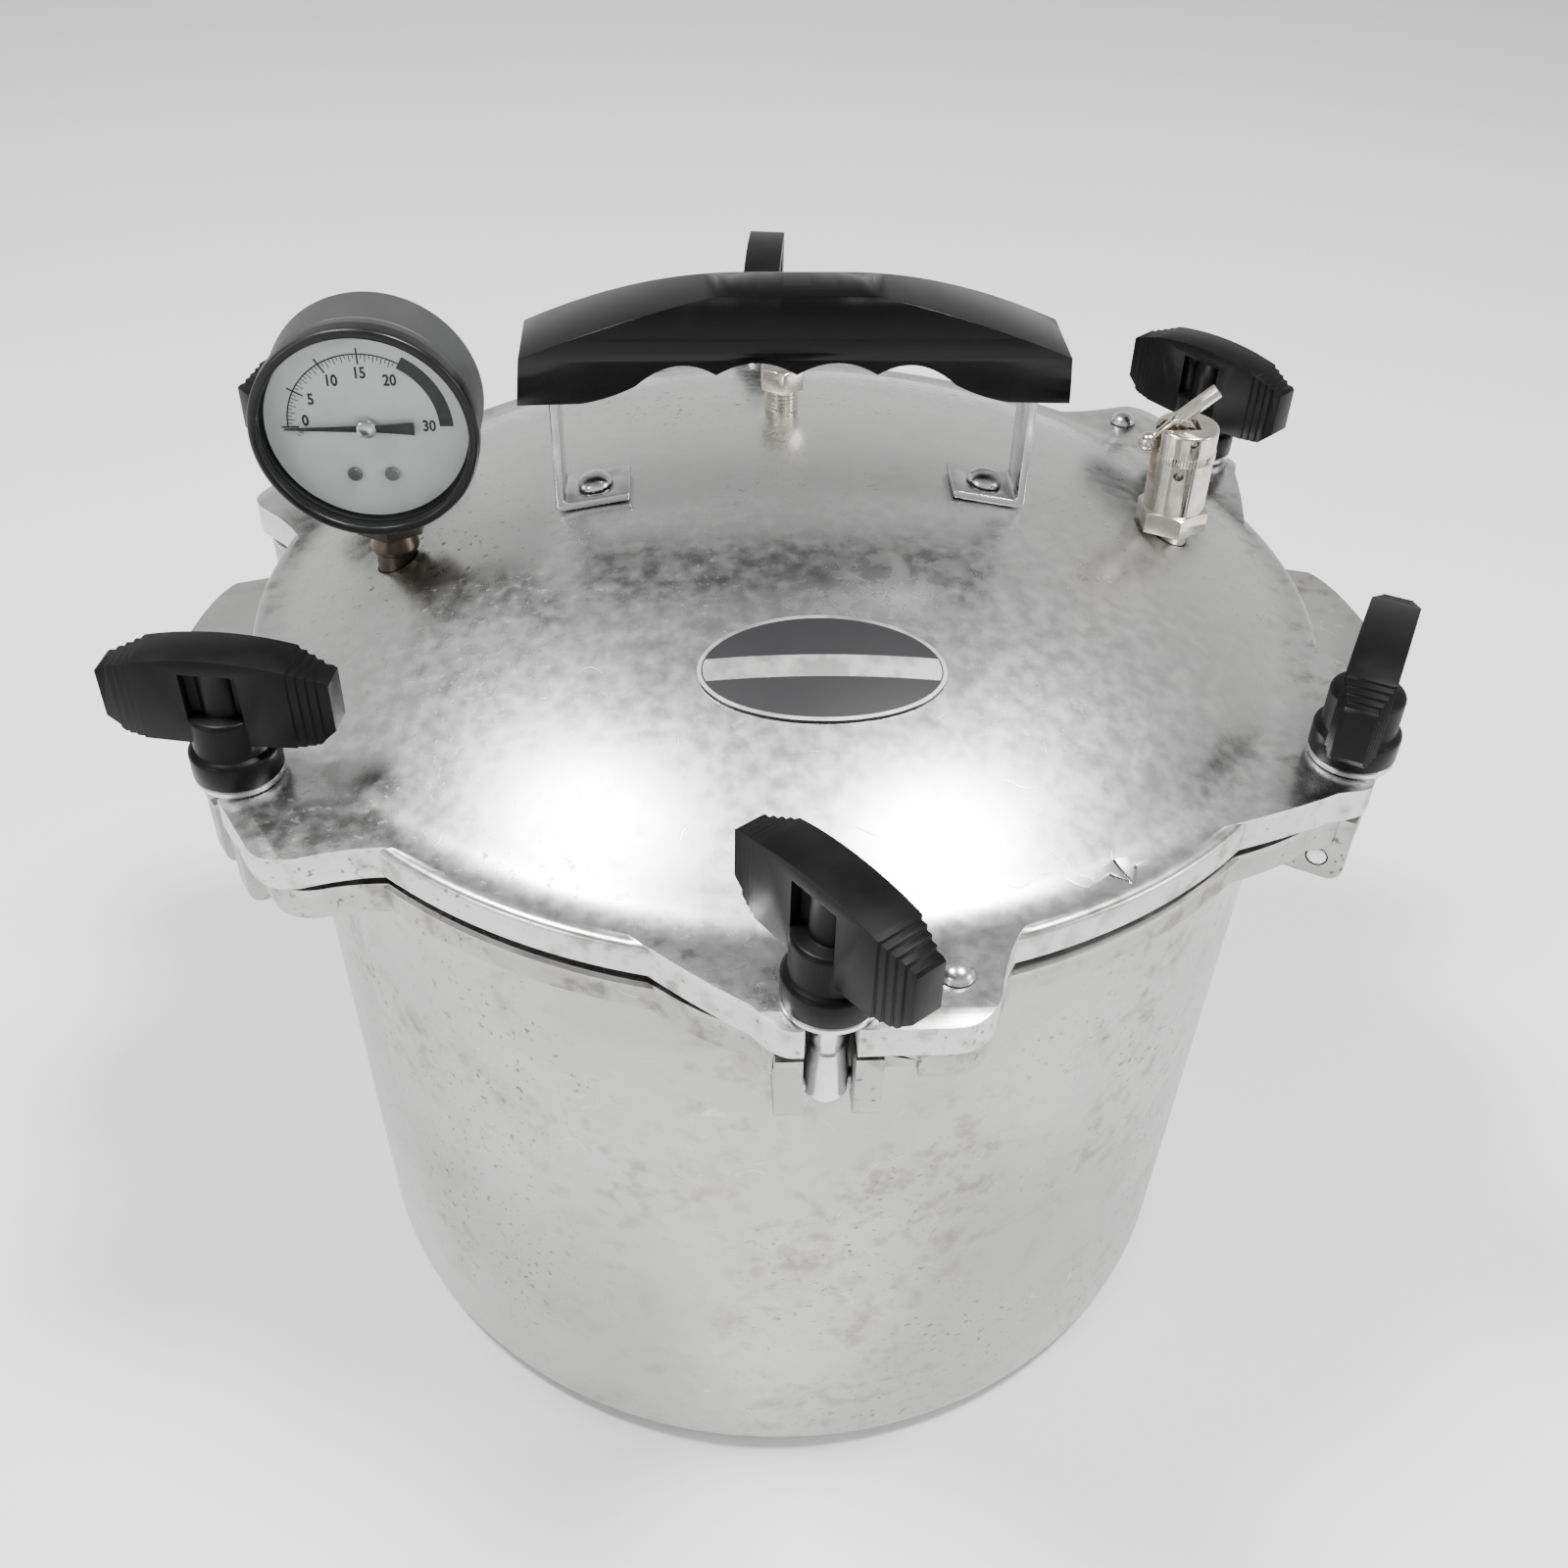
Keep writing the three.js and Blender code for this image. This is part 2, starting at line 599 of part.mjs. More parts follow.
// A thin oval pressed to the curve of the dome.
function namePlate() {
  const shell = turned([...domeProfile(GAP).reverse(), ...domeProfile(GAP + PLATE_T)], ROUND);
  const oval = new THREE.Shape();
  oval.absellipse(PLATE_X, PLATE_Y, PLATE_L / 2, PLATE_W / 2, 0, 2 * Math.PI, false, 0);
  return common(shell, slab(oval, LID_TOP, LID_TOP + 60, 14));
}
addNode('name_plate', namePlate(), BAKELITE);

// ---- Handle ------------------------------------------------------------------------------

// Bracket in side view: a foot that lies on the dome's slope, a bend and an upright.
const STRAP_TOP = HANDLE_TOP - 30;

function handleBracket(side) {
  const t = STRAP_T / 2;
  const footZ = (x) => domeHeight(RIVET_X) + GAP - Math.tan(HANDLE_SLOPE) * (x - RIVET_X);
  const shape = outline([
    [FOOT_INNER_X, footZ(FOOT_INNER_X)],
    [STRAP_X - t, footZ(STRAP_X - t)],
    [STRAP_X + t, footZ(STRAP_X + t) + 1.2],
    [STRAP_X + t, STRAP_TOP],
    [STRAP_X - t, STRAP_TOP],
    [STRAP_X - t, footZ(STRAP_X - t) + STRAP_T + 0.8],
    [STRAP_X - t - 1, footZ(STRAP_X - t) + STRAP_T],
    [FOOT_INNER_X, footZ(FOOT_INNER_X) + STRAP_T],
  ]);
  const strap = sideSlab(shape, STRAP_W);
  const placed = side > 0 ? strap : strap.rotateZ(Math.PI);
  return cut(placed, onSlope(rod(RIVET_R + GAP, -3, 8, 12), side));
}

function footFastener(side, slotted) {
  const seat = STRAP_T + 2 * GAP;
  const head = turned([
    [0, -DOME_T - 3],
    [RIVET_R, -DOME_T - 3],
    [RIVET_R, seat],
    [5.4, seat],
    [5, seat + 1.6],
    [3.2, seat + 3.1],
    [0, seat + 3.6],
  ], 14);
  const slot = block(-6, 6, -0.7, 0.7, seat + 1.8, seat + 5);
  return onSlope(slotted ? cut(head, slot) : head, side);
}

// Grip in side view: arched back, four finger scallops below and cut ends.
function handleGrip() {
  const under = HANDLE_TOP - 23;
  const endTop = HANDLE_TOP - 18;
  const endLow = HANDLE_TOP - 33;
  const scallop = 23;
  const first = -2 * scallop;
  const side = new THREE.Shape();
  side.moveTo(-HANDLE_HALF, endLow);
  side.lineTo(-STRAP_X + 8, endLow + 0.5);
  side.quadraticCurveTo(-STRAP_X + 16, endLow + 2, first, under - 3.5);
  for (let i = 0; i < 4; i += 1) {
    const x = first + i * scallop;
    const end = i === 3 ? under - 3.5 : under;
    side.quadraticCurveTo(x + scallop / 2, under + 5.5, x + scallop, end);
  }
  side.quadraticCurveTo(STRAP_X - 16, endLow + 2, STRAP_X - 8, endLow + 0.5);
  side.lineTo(HANDLE_HALF, endLow);
  side.lineTo(HANDLE_HALF - 1.5, endTop);
  side.quadraticCurveTo(HANDLE_HALF * 0.45, HANDLE_TOP, 0, HANDLE_TOP);
  side.quadraticCurveTo(-HANDLE_HALF * 0.45, HANDLE_TOP, -HANDLE_HALF + 1.5, endTop);
  side.closePath();
  const grip = sideSlab(side, HANDLE_DEPTH, 4);
  const across = new THREE.Shape();
  const half = HANDLE_DEPTH / 2;
  across.moveTo(-half + 3, endLow - 2);
  across.lineTo(half - 3, endLow - 2);
  across.quadraticCurveTo(half, endLow + 4, half, HANDLE_TOP - 12);
  across.quadraticCurveTo(half - 1, HANDLE_TOP + 0.5, 0, HANDLE_TOP + 0.5);
  across.quadraticCurveTo(-half + 1, HANDLE_TOP + 0.5, -half, HANDLE_TOP - 12);
  across.quadraticCurveTo(-half, endLow + 4, -half + 3, endLow - 2);
  const section = slab(across, -HANDLE_HALF - 1, HANDLE_HALF + 1, 3);
  section.rotateX(Math.PI / 2).rotateZ(Math.PI / 2);
  const sockets = [-1, 1].map((s) => block(
    s * STRAP_X - STRAP_T / 2 - GAP,
    s * STRAP_X + STRAP_T / 2 + GAP,
    -STRAP_W / 2 - GAP,
    STRAP_W / 2 + GAP,
    endLow - 3,
    STRAP_TOP + GAP,
  ));
  return cut(common(grip, section), ...sockets);
}

addNode('handle_grip', handleGrip(), GLOSS_BLACK);
addNode('handle_bracket_left', handleBracket(-1), STEEL);
addNode('handle_bracket_right', handleBracket(1), STEEL);
addNode('handle_rivet_left', footFastener(-1, false), STEEL);
addNode('handle_screw_right', footFastener(1, true), STEEL);

// ---- Gauge -------------------------------------------------------------------------------

// The gauge is drawn lying on its back, face up, about the middle of its dial, and then
// stood up so that the face looks along -Y.
const gauge = new THREE.Group();
gauge.position.set(GAUGE_X, GAUGE_FRONT, GAUGE_Z);
gauge.rotation.x = Math.PI / 2;
group.add(gauge);

const BEZEL_H = 5;
const CASE_BACK = -GAUGE_DEPTH;
const DIAL_Z = -DIAL_DEPTH;
const MOVEMENT_TOP = DIAL_Z - 1.4;
const MOVEMENT_Z = DIAL_Z - 3;    // underside of the movement plate
const GEAR_Z = DIAL_Z - 5.5;      // middle of the gear train's 2 mm layer
const STEM_BACK = -(GAUGE_Y - GAUGE_FRONT);   // stem's axis behind the bezel's front
const SCREW_SIDES = [-1, 1];
const SCREW_X = 5.2;
const SCREW_Y = -14.6;

function gaugeCase() {
  const cup = turned([
    [0, CASE_BACK],
    [CASE_R - 2, CASE_BACK],
    [CASE_R, CASE_BACK + 2],
    [CASE_R, -BEZEL_H - GAP],
    [CASE_R - CASE_T, -BEZEL_H - GAP],
    [CASE_R - CASE_T, CASE_BACK + CASE_T],
    [0, CASE_BACK + CASE_T],
  ], DISC);
  const stemHole = rod(SOCKET_STEM_R + GAP, 0, GAUGE_R + 5);
  return cut(cup, stemHole.rotateX(Math.PI / 2).translate(0, 0, STEM_BACK));
}

function gaugeBezel() {
  return turned([
    [CASE_R - CASE_T, -BEZEL_H],
    [GAUGE_R, -BEZEL_H],
    [GAUGE_R, -1.2],
    [GAUGE_R - 1.2, 0],
    [GAUGE_R - 2.6, 0],
    [GAUGE_R - 3, -1.6],
    [CASE_R - CASE_T, -1.6],
    [CASE_R - CASE_T, -BEZEL_H],
  ], DISC);
}

function gaugeLens() {
  return rod(CASE_R - CASE_T - GAP, -3.4, -1.6 - GAP, DISC);
}

// Clearance holes for the two screws that hold the dial to the movement plate.
function screwHoles(low, high) {
  return SCREW_SIDES.map((side) => rod(1.4, low, high, 8).translate(side * SCREW_X, SCREW_Y, 0));
}

function gaugeDial() {
  const low = DIAL_Z - 3;
  const high = DIAL_Z + 1;
  return cut(rod(DIAL_R, DIAL_Z - 1, DIAL_Z, DISC), rod(1.6, low, high, 10), ...screwHoles(low, high));
}

function dialScrew(side) {
  const screw = turned([
    [0, MOVEMENT_Z],
    [1.1, MOVEMENT_Z],
    [1.1, DIAL_Z + GAP],
    [2.1, DIAL_Z + GAP],
    [1.9, DIAL_Z + 1],
    [0, DIAL_Z + 1.1],
  ], 8);
  return screw.translate(side * SCREW_X, SCREW_Y, 0);
}

// The pointer lies along -X at rest and turns over the top of the dial to +X.
const POINTER_Z = DIAL_Z + 1.3;

function gaugePointer() {
  const blade = slab(outline([
    [-22.5, -0.25],
    [-6, -0.8],
    [4, -1.1],
    [13.2, -1.9],
    [13.2, 1.9],
    [4, 1.1],
    [-6, 0.8],
    [-22.5, 0.25],
  ]), POINTER_Z, POINTER_Z + 0.5);
  const hub = turned([
    [0, DIAL_Z + 0.6],
    [2.8, DIAL_Z + 0.6],
    [2.8, DIAL_Z + 1.9],
    [1.4, DIAL_Z + 2.5],
    [0, DIAL_Z + 2.6],
  ], 14);
  return cut(joined(blade, hub), rod(1, DIAL_Z, DIAL_Z + 2, 10));
}

// Plain teeth on a round body, thin enough to run with backlash.
function gearPlan(teeth, first, count, rootLimit) {
  const pitch = teeth * GEAR_MODULE / 2;
  const [root, tip] = [pitch - 1.25 * GEAR_MODULE, pitch + 0.75 * GEAR_MODULE];
  const points = [];
  const step = 360 / teeth;
  for (let i = 0; i < count; i += 1) {
    const middle = first + i * step;
    for (const [r, share] of [[root, -0.24], [tip, -0.1], [tip, 0.1], [root, 0.24]]) {
      const t = rad(middle + share * step);
      points.push([r * Math.cos(t), r * Math.sin(t)]);
    }
  }
  if (rootLimit) points.push(...rootLimit);
  return outline(points);
}

// The arbor carries the pointer and the pinion.
function pointerArbor() {
  const arbor = rod(0.7, GEAR_Z - 1.6, DIAL_Z + 1.7, 8);
  const pinion = slab(gearPlan(PINION_TEETH, 90 + 180 / PINION_TEETH, PINION_TEETH), GEAR_Z - 1, GEAR_Z + 1);
  return joined(arbor, pinion);
}

const SECTOR_DROP = (PINION_TEETH + SECTOR_TEETH) * GEAR_MODULE / 2;
const SECTOR_SWING = 180 * PINION_TEETH / SECTOR_TEETH;

// The sector turns anticlockwise as the pointer climbs, so its teeth run from the rest mesh
// clockwise by its swing. Its arm narrows to the pivot below the arbor.
function sectorGear() {
  const step = 360 / SECTOR_TEETH;
  const spare = 1;
  const count = Math.round(SECTOR_SWING / step) + 1 + 2 * spare;
  const arm = [[-3, -2.4], [3, -2.4]];
  const plan = gearPlan(SECTOR_TEETH, 90 - SECTOR_SWING - spare * step, count, arm);
  const body = joined(slab(plan, GEAR_Z - 1, GEAR_Z + 1), rod(3.4, GEAR_Z - 1, GEAR_Z + 1, 12));
  return cut(body, rod(1.2 + GAP, GEAR_Z - 3, GEAR_Z + 3, 8)).translate(0, -SECTOR_DROP, 0);
}

function sectorPivot() {
  return rod(1.2, GEAR_Z - 1.6, MOVEMENT_Z - GAP, 8).translate(0, -SECTOR_DROP, 0);
}

// The plate carries the dial's screws and the arbor, and its foot stands on the stem.
function movementPlate() {
  const plan = outline([[-9, -27.5], [9, -27.5], [9, 6], [-9, 6]]);
  const foot = block(-5, 5, -27.5, -24.2, STEM_BACK + SOCKET_STEM_R + GAP, MOVEMENT_TOP);
  const low = MOVEMENT_Z - 1;
  const plate = joined(slab(plan, MOVEMENT_Z, MOVEMENT_TOP), foot);
  return cut(plate, rod(1, low, DIAL_Z, 8), ...screwHoles(low, DIAL_Z));
}

// A C-shaped Bourdon tube round the inside of the case, fed by the socket.
function bourdonTube() {
  const bend = arc(0, 0, 22.5, -60, 215, 10);
  const path = new THREE.CatmullRomCurve3(bend.map(([x, y]) => new THREE.Vector3(x, y, 0)));
  const section = outline([[-1.4, 0], [-0.8, -2.6], [0.8, -2.6], [1.4, 0], [0.8, 2.6], [-0.8, 2.6]]);
  const options = { steps: 16, bevelEnabled: false, extrudePath: path };
  return new THREE.ExtrudeGeometry(section, options).translate(0, 0, STEM_BACK + 1.5);
}

addNode('gauge_case', gaugeCase(), BAKELITE, gauge);
addNode('gauge_bezel', gaugeBezel(), BAKELITE, gauge);
addNode('gauge_lens', gaugeLens(), GLASS, gauge);
addNode('gauge_dial', gaugeDial(), DIAL_WHITE, gauge);
addNode('dial_screw_left', dialScrew(-1), STEEL, gauge);
addNode('dial_screw_right', dialScrew(1), STEEL, gauge);
addNode('gauge_pointer', gaugePointer(), BAKELITE, gauge);
addNode('pointer_arbor', pointerArbor(), BRASS, gauge);
addNode('sector_gear', sectorGear(), BRASS, gauge);
addNode('sector_pivot', sectorPivot(), BRASS, gauge);
addNode('movement_plate', movementPlate(), BRASS, gauge);
addNode('bourdon_tube', bourdonTube(), BRASS, gauge);

// The socket screws into the lid and rises into the case.
function gaugeSocket() {
  const seat = domeHeight(Math.hypot(GAUGE_X, GAUGE_Y) - SOCKET_HEX / Math.sqrt(3)) + GAP;
  const caseBottom = GAUGE_Z - CASE_R;
  const foot = seat - SOCKET_DEPTH;
  const top = GAUGE_Z - SOCKET_TOP;
  const whole = joined(rod(SOCKET_STEM_R, foot, top), hexagon(SOCKET_HEX, seat, caseBottom - 1));
  const bore = rod(SOCKET_BORE_R, foot - SOCKET_BORE_LAND, top - SOCKET_BORE_LAND, 10);
  return cut(whole, bore).translate(GAUGE_X, GAUGE_Y, 0);
}
addNode('gauge_socket', gaugeSocket(), BRASS);

// ---- Petcock -----------------------------------------------------------------------------

const petcock = new THREE.Group();
petcock.position.set(PETCOCK_X, PETCOCK_Y, 0);
group.add(petcock);

const LEVER_PIN_Z = PETCOCK_TOP - LEVER_PIN_DROP;

function petcockBody() {
  const stemLow = domeHeight(PETCOCK_X) - DOME_T - 5;
  const barrelLow = PETCOCK_HEX_Z + PETCOCK_HEX_H;
  const barrel = turned([
    [0, barrelLow - 1],
    [PETCOCK_R, barrelLow - 1],
    [PETCOCK_R, PETCOCK_TOP - 1],
    [PETCOCK_R - 1, PETCOCK_TOP],
    [0, PETCOCK_TOP],
  ], 20);
  const stem = rod(PETCOCK_STEM_R, stemLow, PETCOCK_HEX_Z + 1);
  const hex = hexagon(PETCOCK_HEX, PETCOCK_HEX_Z, barrelLow);
  const half = LEVER_SLOT_W / 2;
  const slot = block(-PETCOCK_R - 2, 3.4, -half, half, PETCOCK_TOP - 18, PETCOCK_TOP + 5);
  const pinBoreY = rod(1 + GAP, -PETCOCK_R - 2, PETCOCK_R + 2, 8);
  pinBoreY.rotateX(-Math.PI / 2).translate(0, 0, LEVER_PIN_Z);
  const vent = rod(1.5, -PETCOCK_R - 2, 0, 8).rotateX(-Math.PI / 2).translate(-3, 0, barrelLow + 14);
  const passage = rod(2, stemLow - 2, barrelLow + 16, 8);
  return cut(joined(barrel, stem, hex), slot, pinBoreY, vent, passage);
}

function petcockPin() {
  return rod(1, -PETCOCK_R + 1, PETCOCK_R - 1, 8).rotateX(-Math.PI / 2).translate(0, 0, LEVER_PIN_Z);
}

// Lever drawn along +X above its pin, then tilted: ball, thin neck and ribbed grip.
function petcockLever() {
  const along = turned([
    [0, LEVER_BALL_AT - LEVER_BALL_R],
    ...arc(0, LEVER_BALL_AT, LEVER_BALL_R, -60, 60, 3),
    [1.4, -6.5],
    [1.4, -1],
    [2.3, 0],
    [2.3, LEVER_TIP_AT - 0.6],
    [1.8, LEVER_TIP_AT],
    [0, LEVER_TIP_AT],
  ], 10).rotateY(Math.PI / 2).translate(0, 0, LEVER_OFFSET);
  const eye = rod(2.6, -2.2, 2.2, 10).rotateX(-Math.PI / 2);
  const web = block(-1.3, 1.3, -2.2, 2.2, 1, LEVER_OFFSET);
  const bore = rod(1 + GAP, -4, 4, 8).rotateX(-Math.PI / 2);
  return cut(joined(along, eye, web), bore).rotateY(-rad(LEVER_TILT)).translate(0, 0, LEVER_PIN_Z);
}

addNode('petcock_body', petcockBody(), NICKEL, petcock);
addNode('petcock_pin', petcockPin(), STEEL, petcock);
addNode('petcock_lever', petcockLever(), NICKEL, petcock);

// ---- Relief plug -------------------------------------------------------------------------

const relief = new THREE.Group();
relief.position.set(0, RELIEF_Y, 0);
group.add(relief);

const BALL_Z = RELIEF_SEAT + 2;
const SPRING_LOW = BALL_Z + RELIEF_BALL_R + GAP;
const SPRING_TOP = RELIEF_TOP - 2.2;

function reliefBody() {
  const hexLow = RELIEF_TOP - 7.5;
  const neckLow = domeHeight(RELIEF_Y - RELIEF_NECK_R) + GAP;
  const body = joined(
    rod(RELIEF_STEM_R, RELIEF_SEAT - DOME_T - 3, RELIEF_SEAT + 2),
    rod(RELIEF_NECK_R, neckLow, hexLow + 1),
    hexagon(RELIEF_HEX, hexLow, RELIEF_TOP),
  );
  const chamber = rod(RELIEF_BALL_R + 0.5, BALL_Z - 1.2, SPRING_TOP + GAP, 12);
  const inlet = rod(1.5, RELIEF_SEAT - DOME_T - 5, BALL_Z, 8);
  const outlet = rod(1.2, SPRING_TOP, RELIEF_TOP + 2, 8);
  return cut(body, chamber, inlet, outlet);
}

// The ball rests just above the inlet's edge.
function reliefBall() {
  const rise = 0.9;
  return new THREE.SphereGeometry(RELIEF_BALL_R, 10, 6).rotateX(Math.PI / 2).translate(0, 0, BALL_Z + rise);
}

function reliefSpring() {
  const low = SPRING_LOW + 0.9;
  const turns = 3;
  const points = [];
  for (let i = 0; i <= turns * 8; i += 1) {
    const t = i / 8;
    const z = low + 0.4 + (SPRING_TOP - low - 0.8) * t / turns;
    points.push(new THREE.Vector3(1.9 * Math.cos(2 * Math.PI * t), 1.9 * Math.sin(2 * Math.PI * t), z));
  }
  const wire = outline(arc(0, 0, 0.4, 0, 300, 5));
  const path = new THREE.CatmullRomCurve3(points);
  const options = { steps: 30, bevelEnabled: false, extrudePath: path };
  return new THREE.ExtrudeGeometry(wire, options);
}

addNode('relief_body', reliefBody(), NICKEL, relief);
addNode('relief_ball', reliefBall(), STEEL, relief);
addNode('relief_spring', reliefSpring(), STEEL, relief);

// ---- Rack --------------------------------------------------------------------------------

// A perforated plate with a turned-down rim that holds jars off the pot's floor.
function canningRack() {
  const rim = POT_FLOOR + GAP;
  const plate = turned([
    [0, RACK_TOP - RACK_T],
    [RACK_R - RACK_T, RACK_TOP - RACK_T],
    [RACK_R - RACK_T, rim],
    [RACK_R, rim],
    [RACK_R, RACK_TOP],
    [0, RACK_TOP],
  ], DISC);
  const holes = [];
  for (const [ring, count] of [[0, 1], [55, 6], [105, 12]]) {
    for (let i = 0; i < count; i += 1) {
      const t = 2 * Math.PI * (i + 0.5) / count;
      holes.push(rod(9, RACK_TOP - 6, RACK_TOP + 4, 8).translate(ring * Math.cos(t), ring * Math.sin(t), 0));
    }
  }
  return cut(plate, ...holes);
}
addNode('canning_rack', canningRack(), CAST);

export default group;
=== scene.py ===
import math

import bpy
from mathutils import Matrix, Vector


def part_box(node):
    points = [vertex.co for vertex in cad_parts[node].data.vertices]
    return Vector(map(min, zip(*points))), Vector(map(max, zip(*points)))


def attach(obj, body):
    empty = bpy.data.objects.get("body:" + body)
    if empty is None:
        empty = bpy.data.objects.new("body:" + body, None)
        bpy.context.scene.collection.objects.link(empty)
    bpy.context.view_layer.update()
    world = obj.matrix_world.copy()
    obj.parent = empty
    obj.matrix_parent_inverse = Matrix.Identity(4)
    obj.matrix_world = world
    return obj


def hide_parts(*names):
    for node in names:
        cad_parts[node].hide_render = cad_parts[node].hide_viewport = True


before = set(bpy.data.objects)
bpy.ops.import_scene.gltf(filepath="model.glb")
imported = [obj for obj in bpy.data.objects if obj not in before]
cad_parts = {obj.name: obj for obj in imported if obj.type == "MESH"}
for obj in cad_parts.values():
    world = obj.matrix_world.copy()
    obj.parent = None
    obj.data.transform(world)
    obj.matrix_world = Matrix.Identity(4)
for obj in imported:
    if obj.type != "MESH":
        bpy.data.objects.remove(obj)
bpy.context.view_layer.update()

# %% [markdown]
# # A pressure canner
# The canner is a cast-aluminium pot and lid pulled together by six swing bolts with moulded
# wing nuts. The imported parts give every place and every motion, and this script makes the
# surfaces that are seen: round walls, soft edges and worn metal.

MM = 0.001
GAP = 0.3                      # room kept between pieces that touch, mm
CLAMPS = 6
ROUND = 192                    # steps round the pot and the lid


def low(node):
    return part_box(node)[0] / MM


def high(node):
    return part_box(node)[1] / MM


def middle(node):
    return (low(node) + high(node)) / 2


BOLT_CIRCLE = -middle("swing_bolt_1").y
PIN_Z = middle("hinge_pin_1").z
POT_TOP = high("pot_body").z
LID_TOP = low("clamp_washer_1").z - GAP
LID_UNDER = POT_TOP + 2.5
NUT_Z = high("clamp_washer_1").z + GAP
DOME_TOP = high("lid_body").z
FLANGE_R = BOLT_CIRCLE - 12.4
POT_RIM_R = FLANGE_R - 6.8
POT_BASE_R = POT_RIM_R - 5.4
FLANGE_LOW = POT_TOP - 10
DOME_R = 325
DOME_CENTRE = DOME_TOP - DOME_R
DOME_EDGE_R = POT_RIM_R - 2
print("bolt circle", round(BOLT_CIRCLE, 2), "lid top", round(LID_TOP, 2))

# %% [markdown]
# ## Tools for modelling
# Most pieces here begin as one point that is extruded along an outline. A closed outline is
# filled and pulled into a prism, and an open one is spun round an axis like clay on a wheel.
# Booleans then cut slots and bores, and a bevel takes the sharpness off the edges.

# %% Helpers that draw, spin and extrude
def deselect():
    active = bpy.context.view_layer.objects.active
    if active and active.mode != "OBJECT":
        bpy.ops.object.mode_set(mode="OBJECT")
    bpy.ops.object.select_all(action="DESELECT")


def choose(piece):
    deselect()
    piece.select_set(True)
    bpy.context.view_layer.objects.active = piece


def edit(piece):
    choose(piece)
    bpy.ops.object.mode_set(mode="EDIT")
    bpy.ops.mesh.select_all(action="SELECT")


def done():
    bpy.ops.object.mode_set(mode="OBJECT")


def drawn(name, points, closed):
    deselect()
    bpy.ops.mesh.primitive_plane_add(size=MM, location=(0, 0, 0))
    piece = bpy.context.object
    piece.name = name
    bpy.ops.object.mode_set(mode="EDIT")
    bpy.ops.mesh.select_all(action="SELECT")
    bpy.ops.mesh.merge(type="CENTER")
    bpy.ops.transform.translate(value=Vector(points[0]) * MM)
    path = list(points) + [points[0]] if closed else points
    for a, b in zip(path, path[1:]):
        step = (Vector(b) - Vector(a)) * MM
        bpy.ops.mesh.extrude_region_move(TRANSFORM_OT_translate={"value": step})
    bpy.ops.mesh.select_all(action="SELECT")
    bpy.ops.mesh.remove_doubles(threshold=1e-6)
    return piece


def tidy_normals():
    bpy.ops.mesh.select_all(action="SELECT")
    bpy.ops.mesh.remove_doubles(threshold=1e-6)
    bpy.ops.mesh.normals_make_consistent(inside=False)
    done()


def spun(name, profile, steps=48, closed=False):
    """A profile of (radius, height) pairs in millimetres, spun round Z."""
    piece = drawn(name, [(r, 0, z) for r, z in profile], closed)
    bpy.ops.mesh.spin(steps=steps, angle=2 * math.pi, center=(0, 0, 0), axis=(0, 0, 1))
    tidy_normals()
    return piece


def prism(name, points, pull):
    """A filled outline of 3-D points, pulled along a vector, all in millimetres."""
    piece = drawn(name, points, True)
    bpy.ops.mesh.edge_face_add()
    bpy.ops.mesh.extrude_region_move(TRANSFORM_OT_translate={"value": Vector(pull) * MM})
    tidy_normals()
    return piece


def placed(piece, at=(0, 0, 0), turn=(0, 0, 0)):
    piece.location = Vector(at) * MM
    piece.rotation_euler = [math.radians(t) for t in turn]
    choose(piece)
    bpy.ops.object.transform_apply(location=True, rotation=True, scale=True)
    return piece


def copied(piece, name):
    choose(piece)
    bpy.ops.object.duplicate(linked=False)
    twin = bpy.context.object
    twin.name = name
    return twin


def merged(pieces):
    deselect()
    for piece in pieces:
        piece.select_set(True)
    bpy.context.view_layer.objects.active = pieces[0]
    if len(pieces) > 1:
        bpy.ops.object.join()
    return bpy.context.object


def applied(piece, kind, **settings):
    modifier = piece.modifiers.new(kind, kind)
    for key, value in settings.items():
        setattr(modifier, key, value)
    choose(piece)
    bpy.ops.object.modifier_apply(modifier=modifier.name)
    return piece


def combined(piece, tool, operation):
    applied(piece, "BOOLEAN", object=tool, operation=operation, solver="MANIFOLD")
    bpy.data.objects.remove(tool)
    return piece


def softened(piece, width, segments=2, angle=40):
    """Joins slivers left by a cut, rounds the sharp edges and smooths the rest."""
    edit(piece)
    bpy.ops.mesh.remove_doubles(threshold=0.05 * MM)
    bpy.ops.mesh.dissolve_limited(angle_limit=math.radians(0.5))
    done()
    if width:
        applied(piece, "BEVEL", width=width * MM, segments=segments, limit_method="ANGLE",
                angle_limit=math.radians(angle), use_clamp_overlap=True)
    choose(piece)
    bpy.ops.object.shade_smooth_by_angle(angle=math.radians(33))
    return piece


def bezier(a, b, c, steps):
    """Points after a on the curve from a to c that is pulled towards b."""
    out = []
    for i in range(1, steps + 1):
        t = i / steps
        out.append(tuple((1 - t) ** 2 * p + 2 * t * (1 - t) * q + t * t * r
                         for p, q, r in zip(a, b, c)))
    return out


def arc(cx, cy, radius, start, end, steps):
    turns = [math.radians(start + (end - start) * i / steps) for i in range(steps + 1)]
    return [(cx + radius * math.cos(t), cy + radius * math.sin(t)) for t in turns]


def block(name, x0, x1, y0, y1, z0, z1):
    return prism(name, [(x0, y0, z0), (x1, y0, z0), (x1, y1, z0), (x0, y1, z0)], (0, 0, z1 - z0))


def rod(name, radius, z0, z1, steps=32):
    return spun(name, [(0, z0), (radius, z0), (radius, z1), (0, z1)], steps)


def clamp_turn(k):
    return -90 + 360 / CLAMPS * k


# %% Handing a piece over to the frame
def hand_over(piece, body, nodes, material):
    piece.data.materials.clear()
    piece.data.materials.append(material)
    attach(piece, body)
    if nodes:
        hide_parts(*nodes)
    return piece


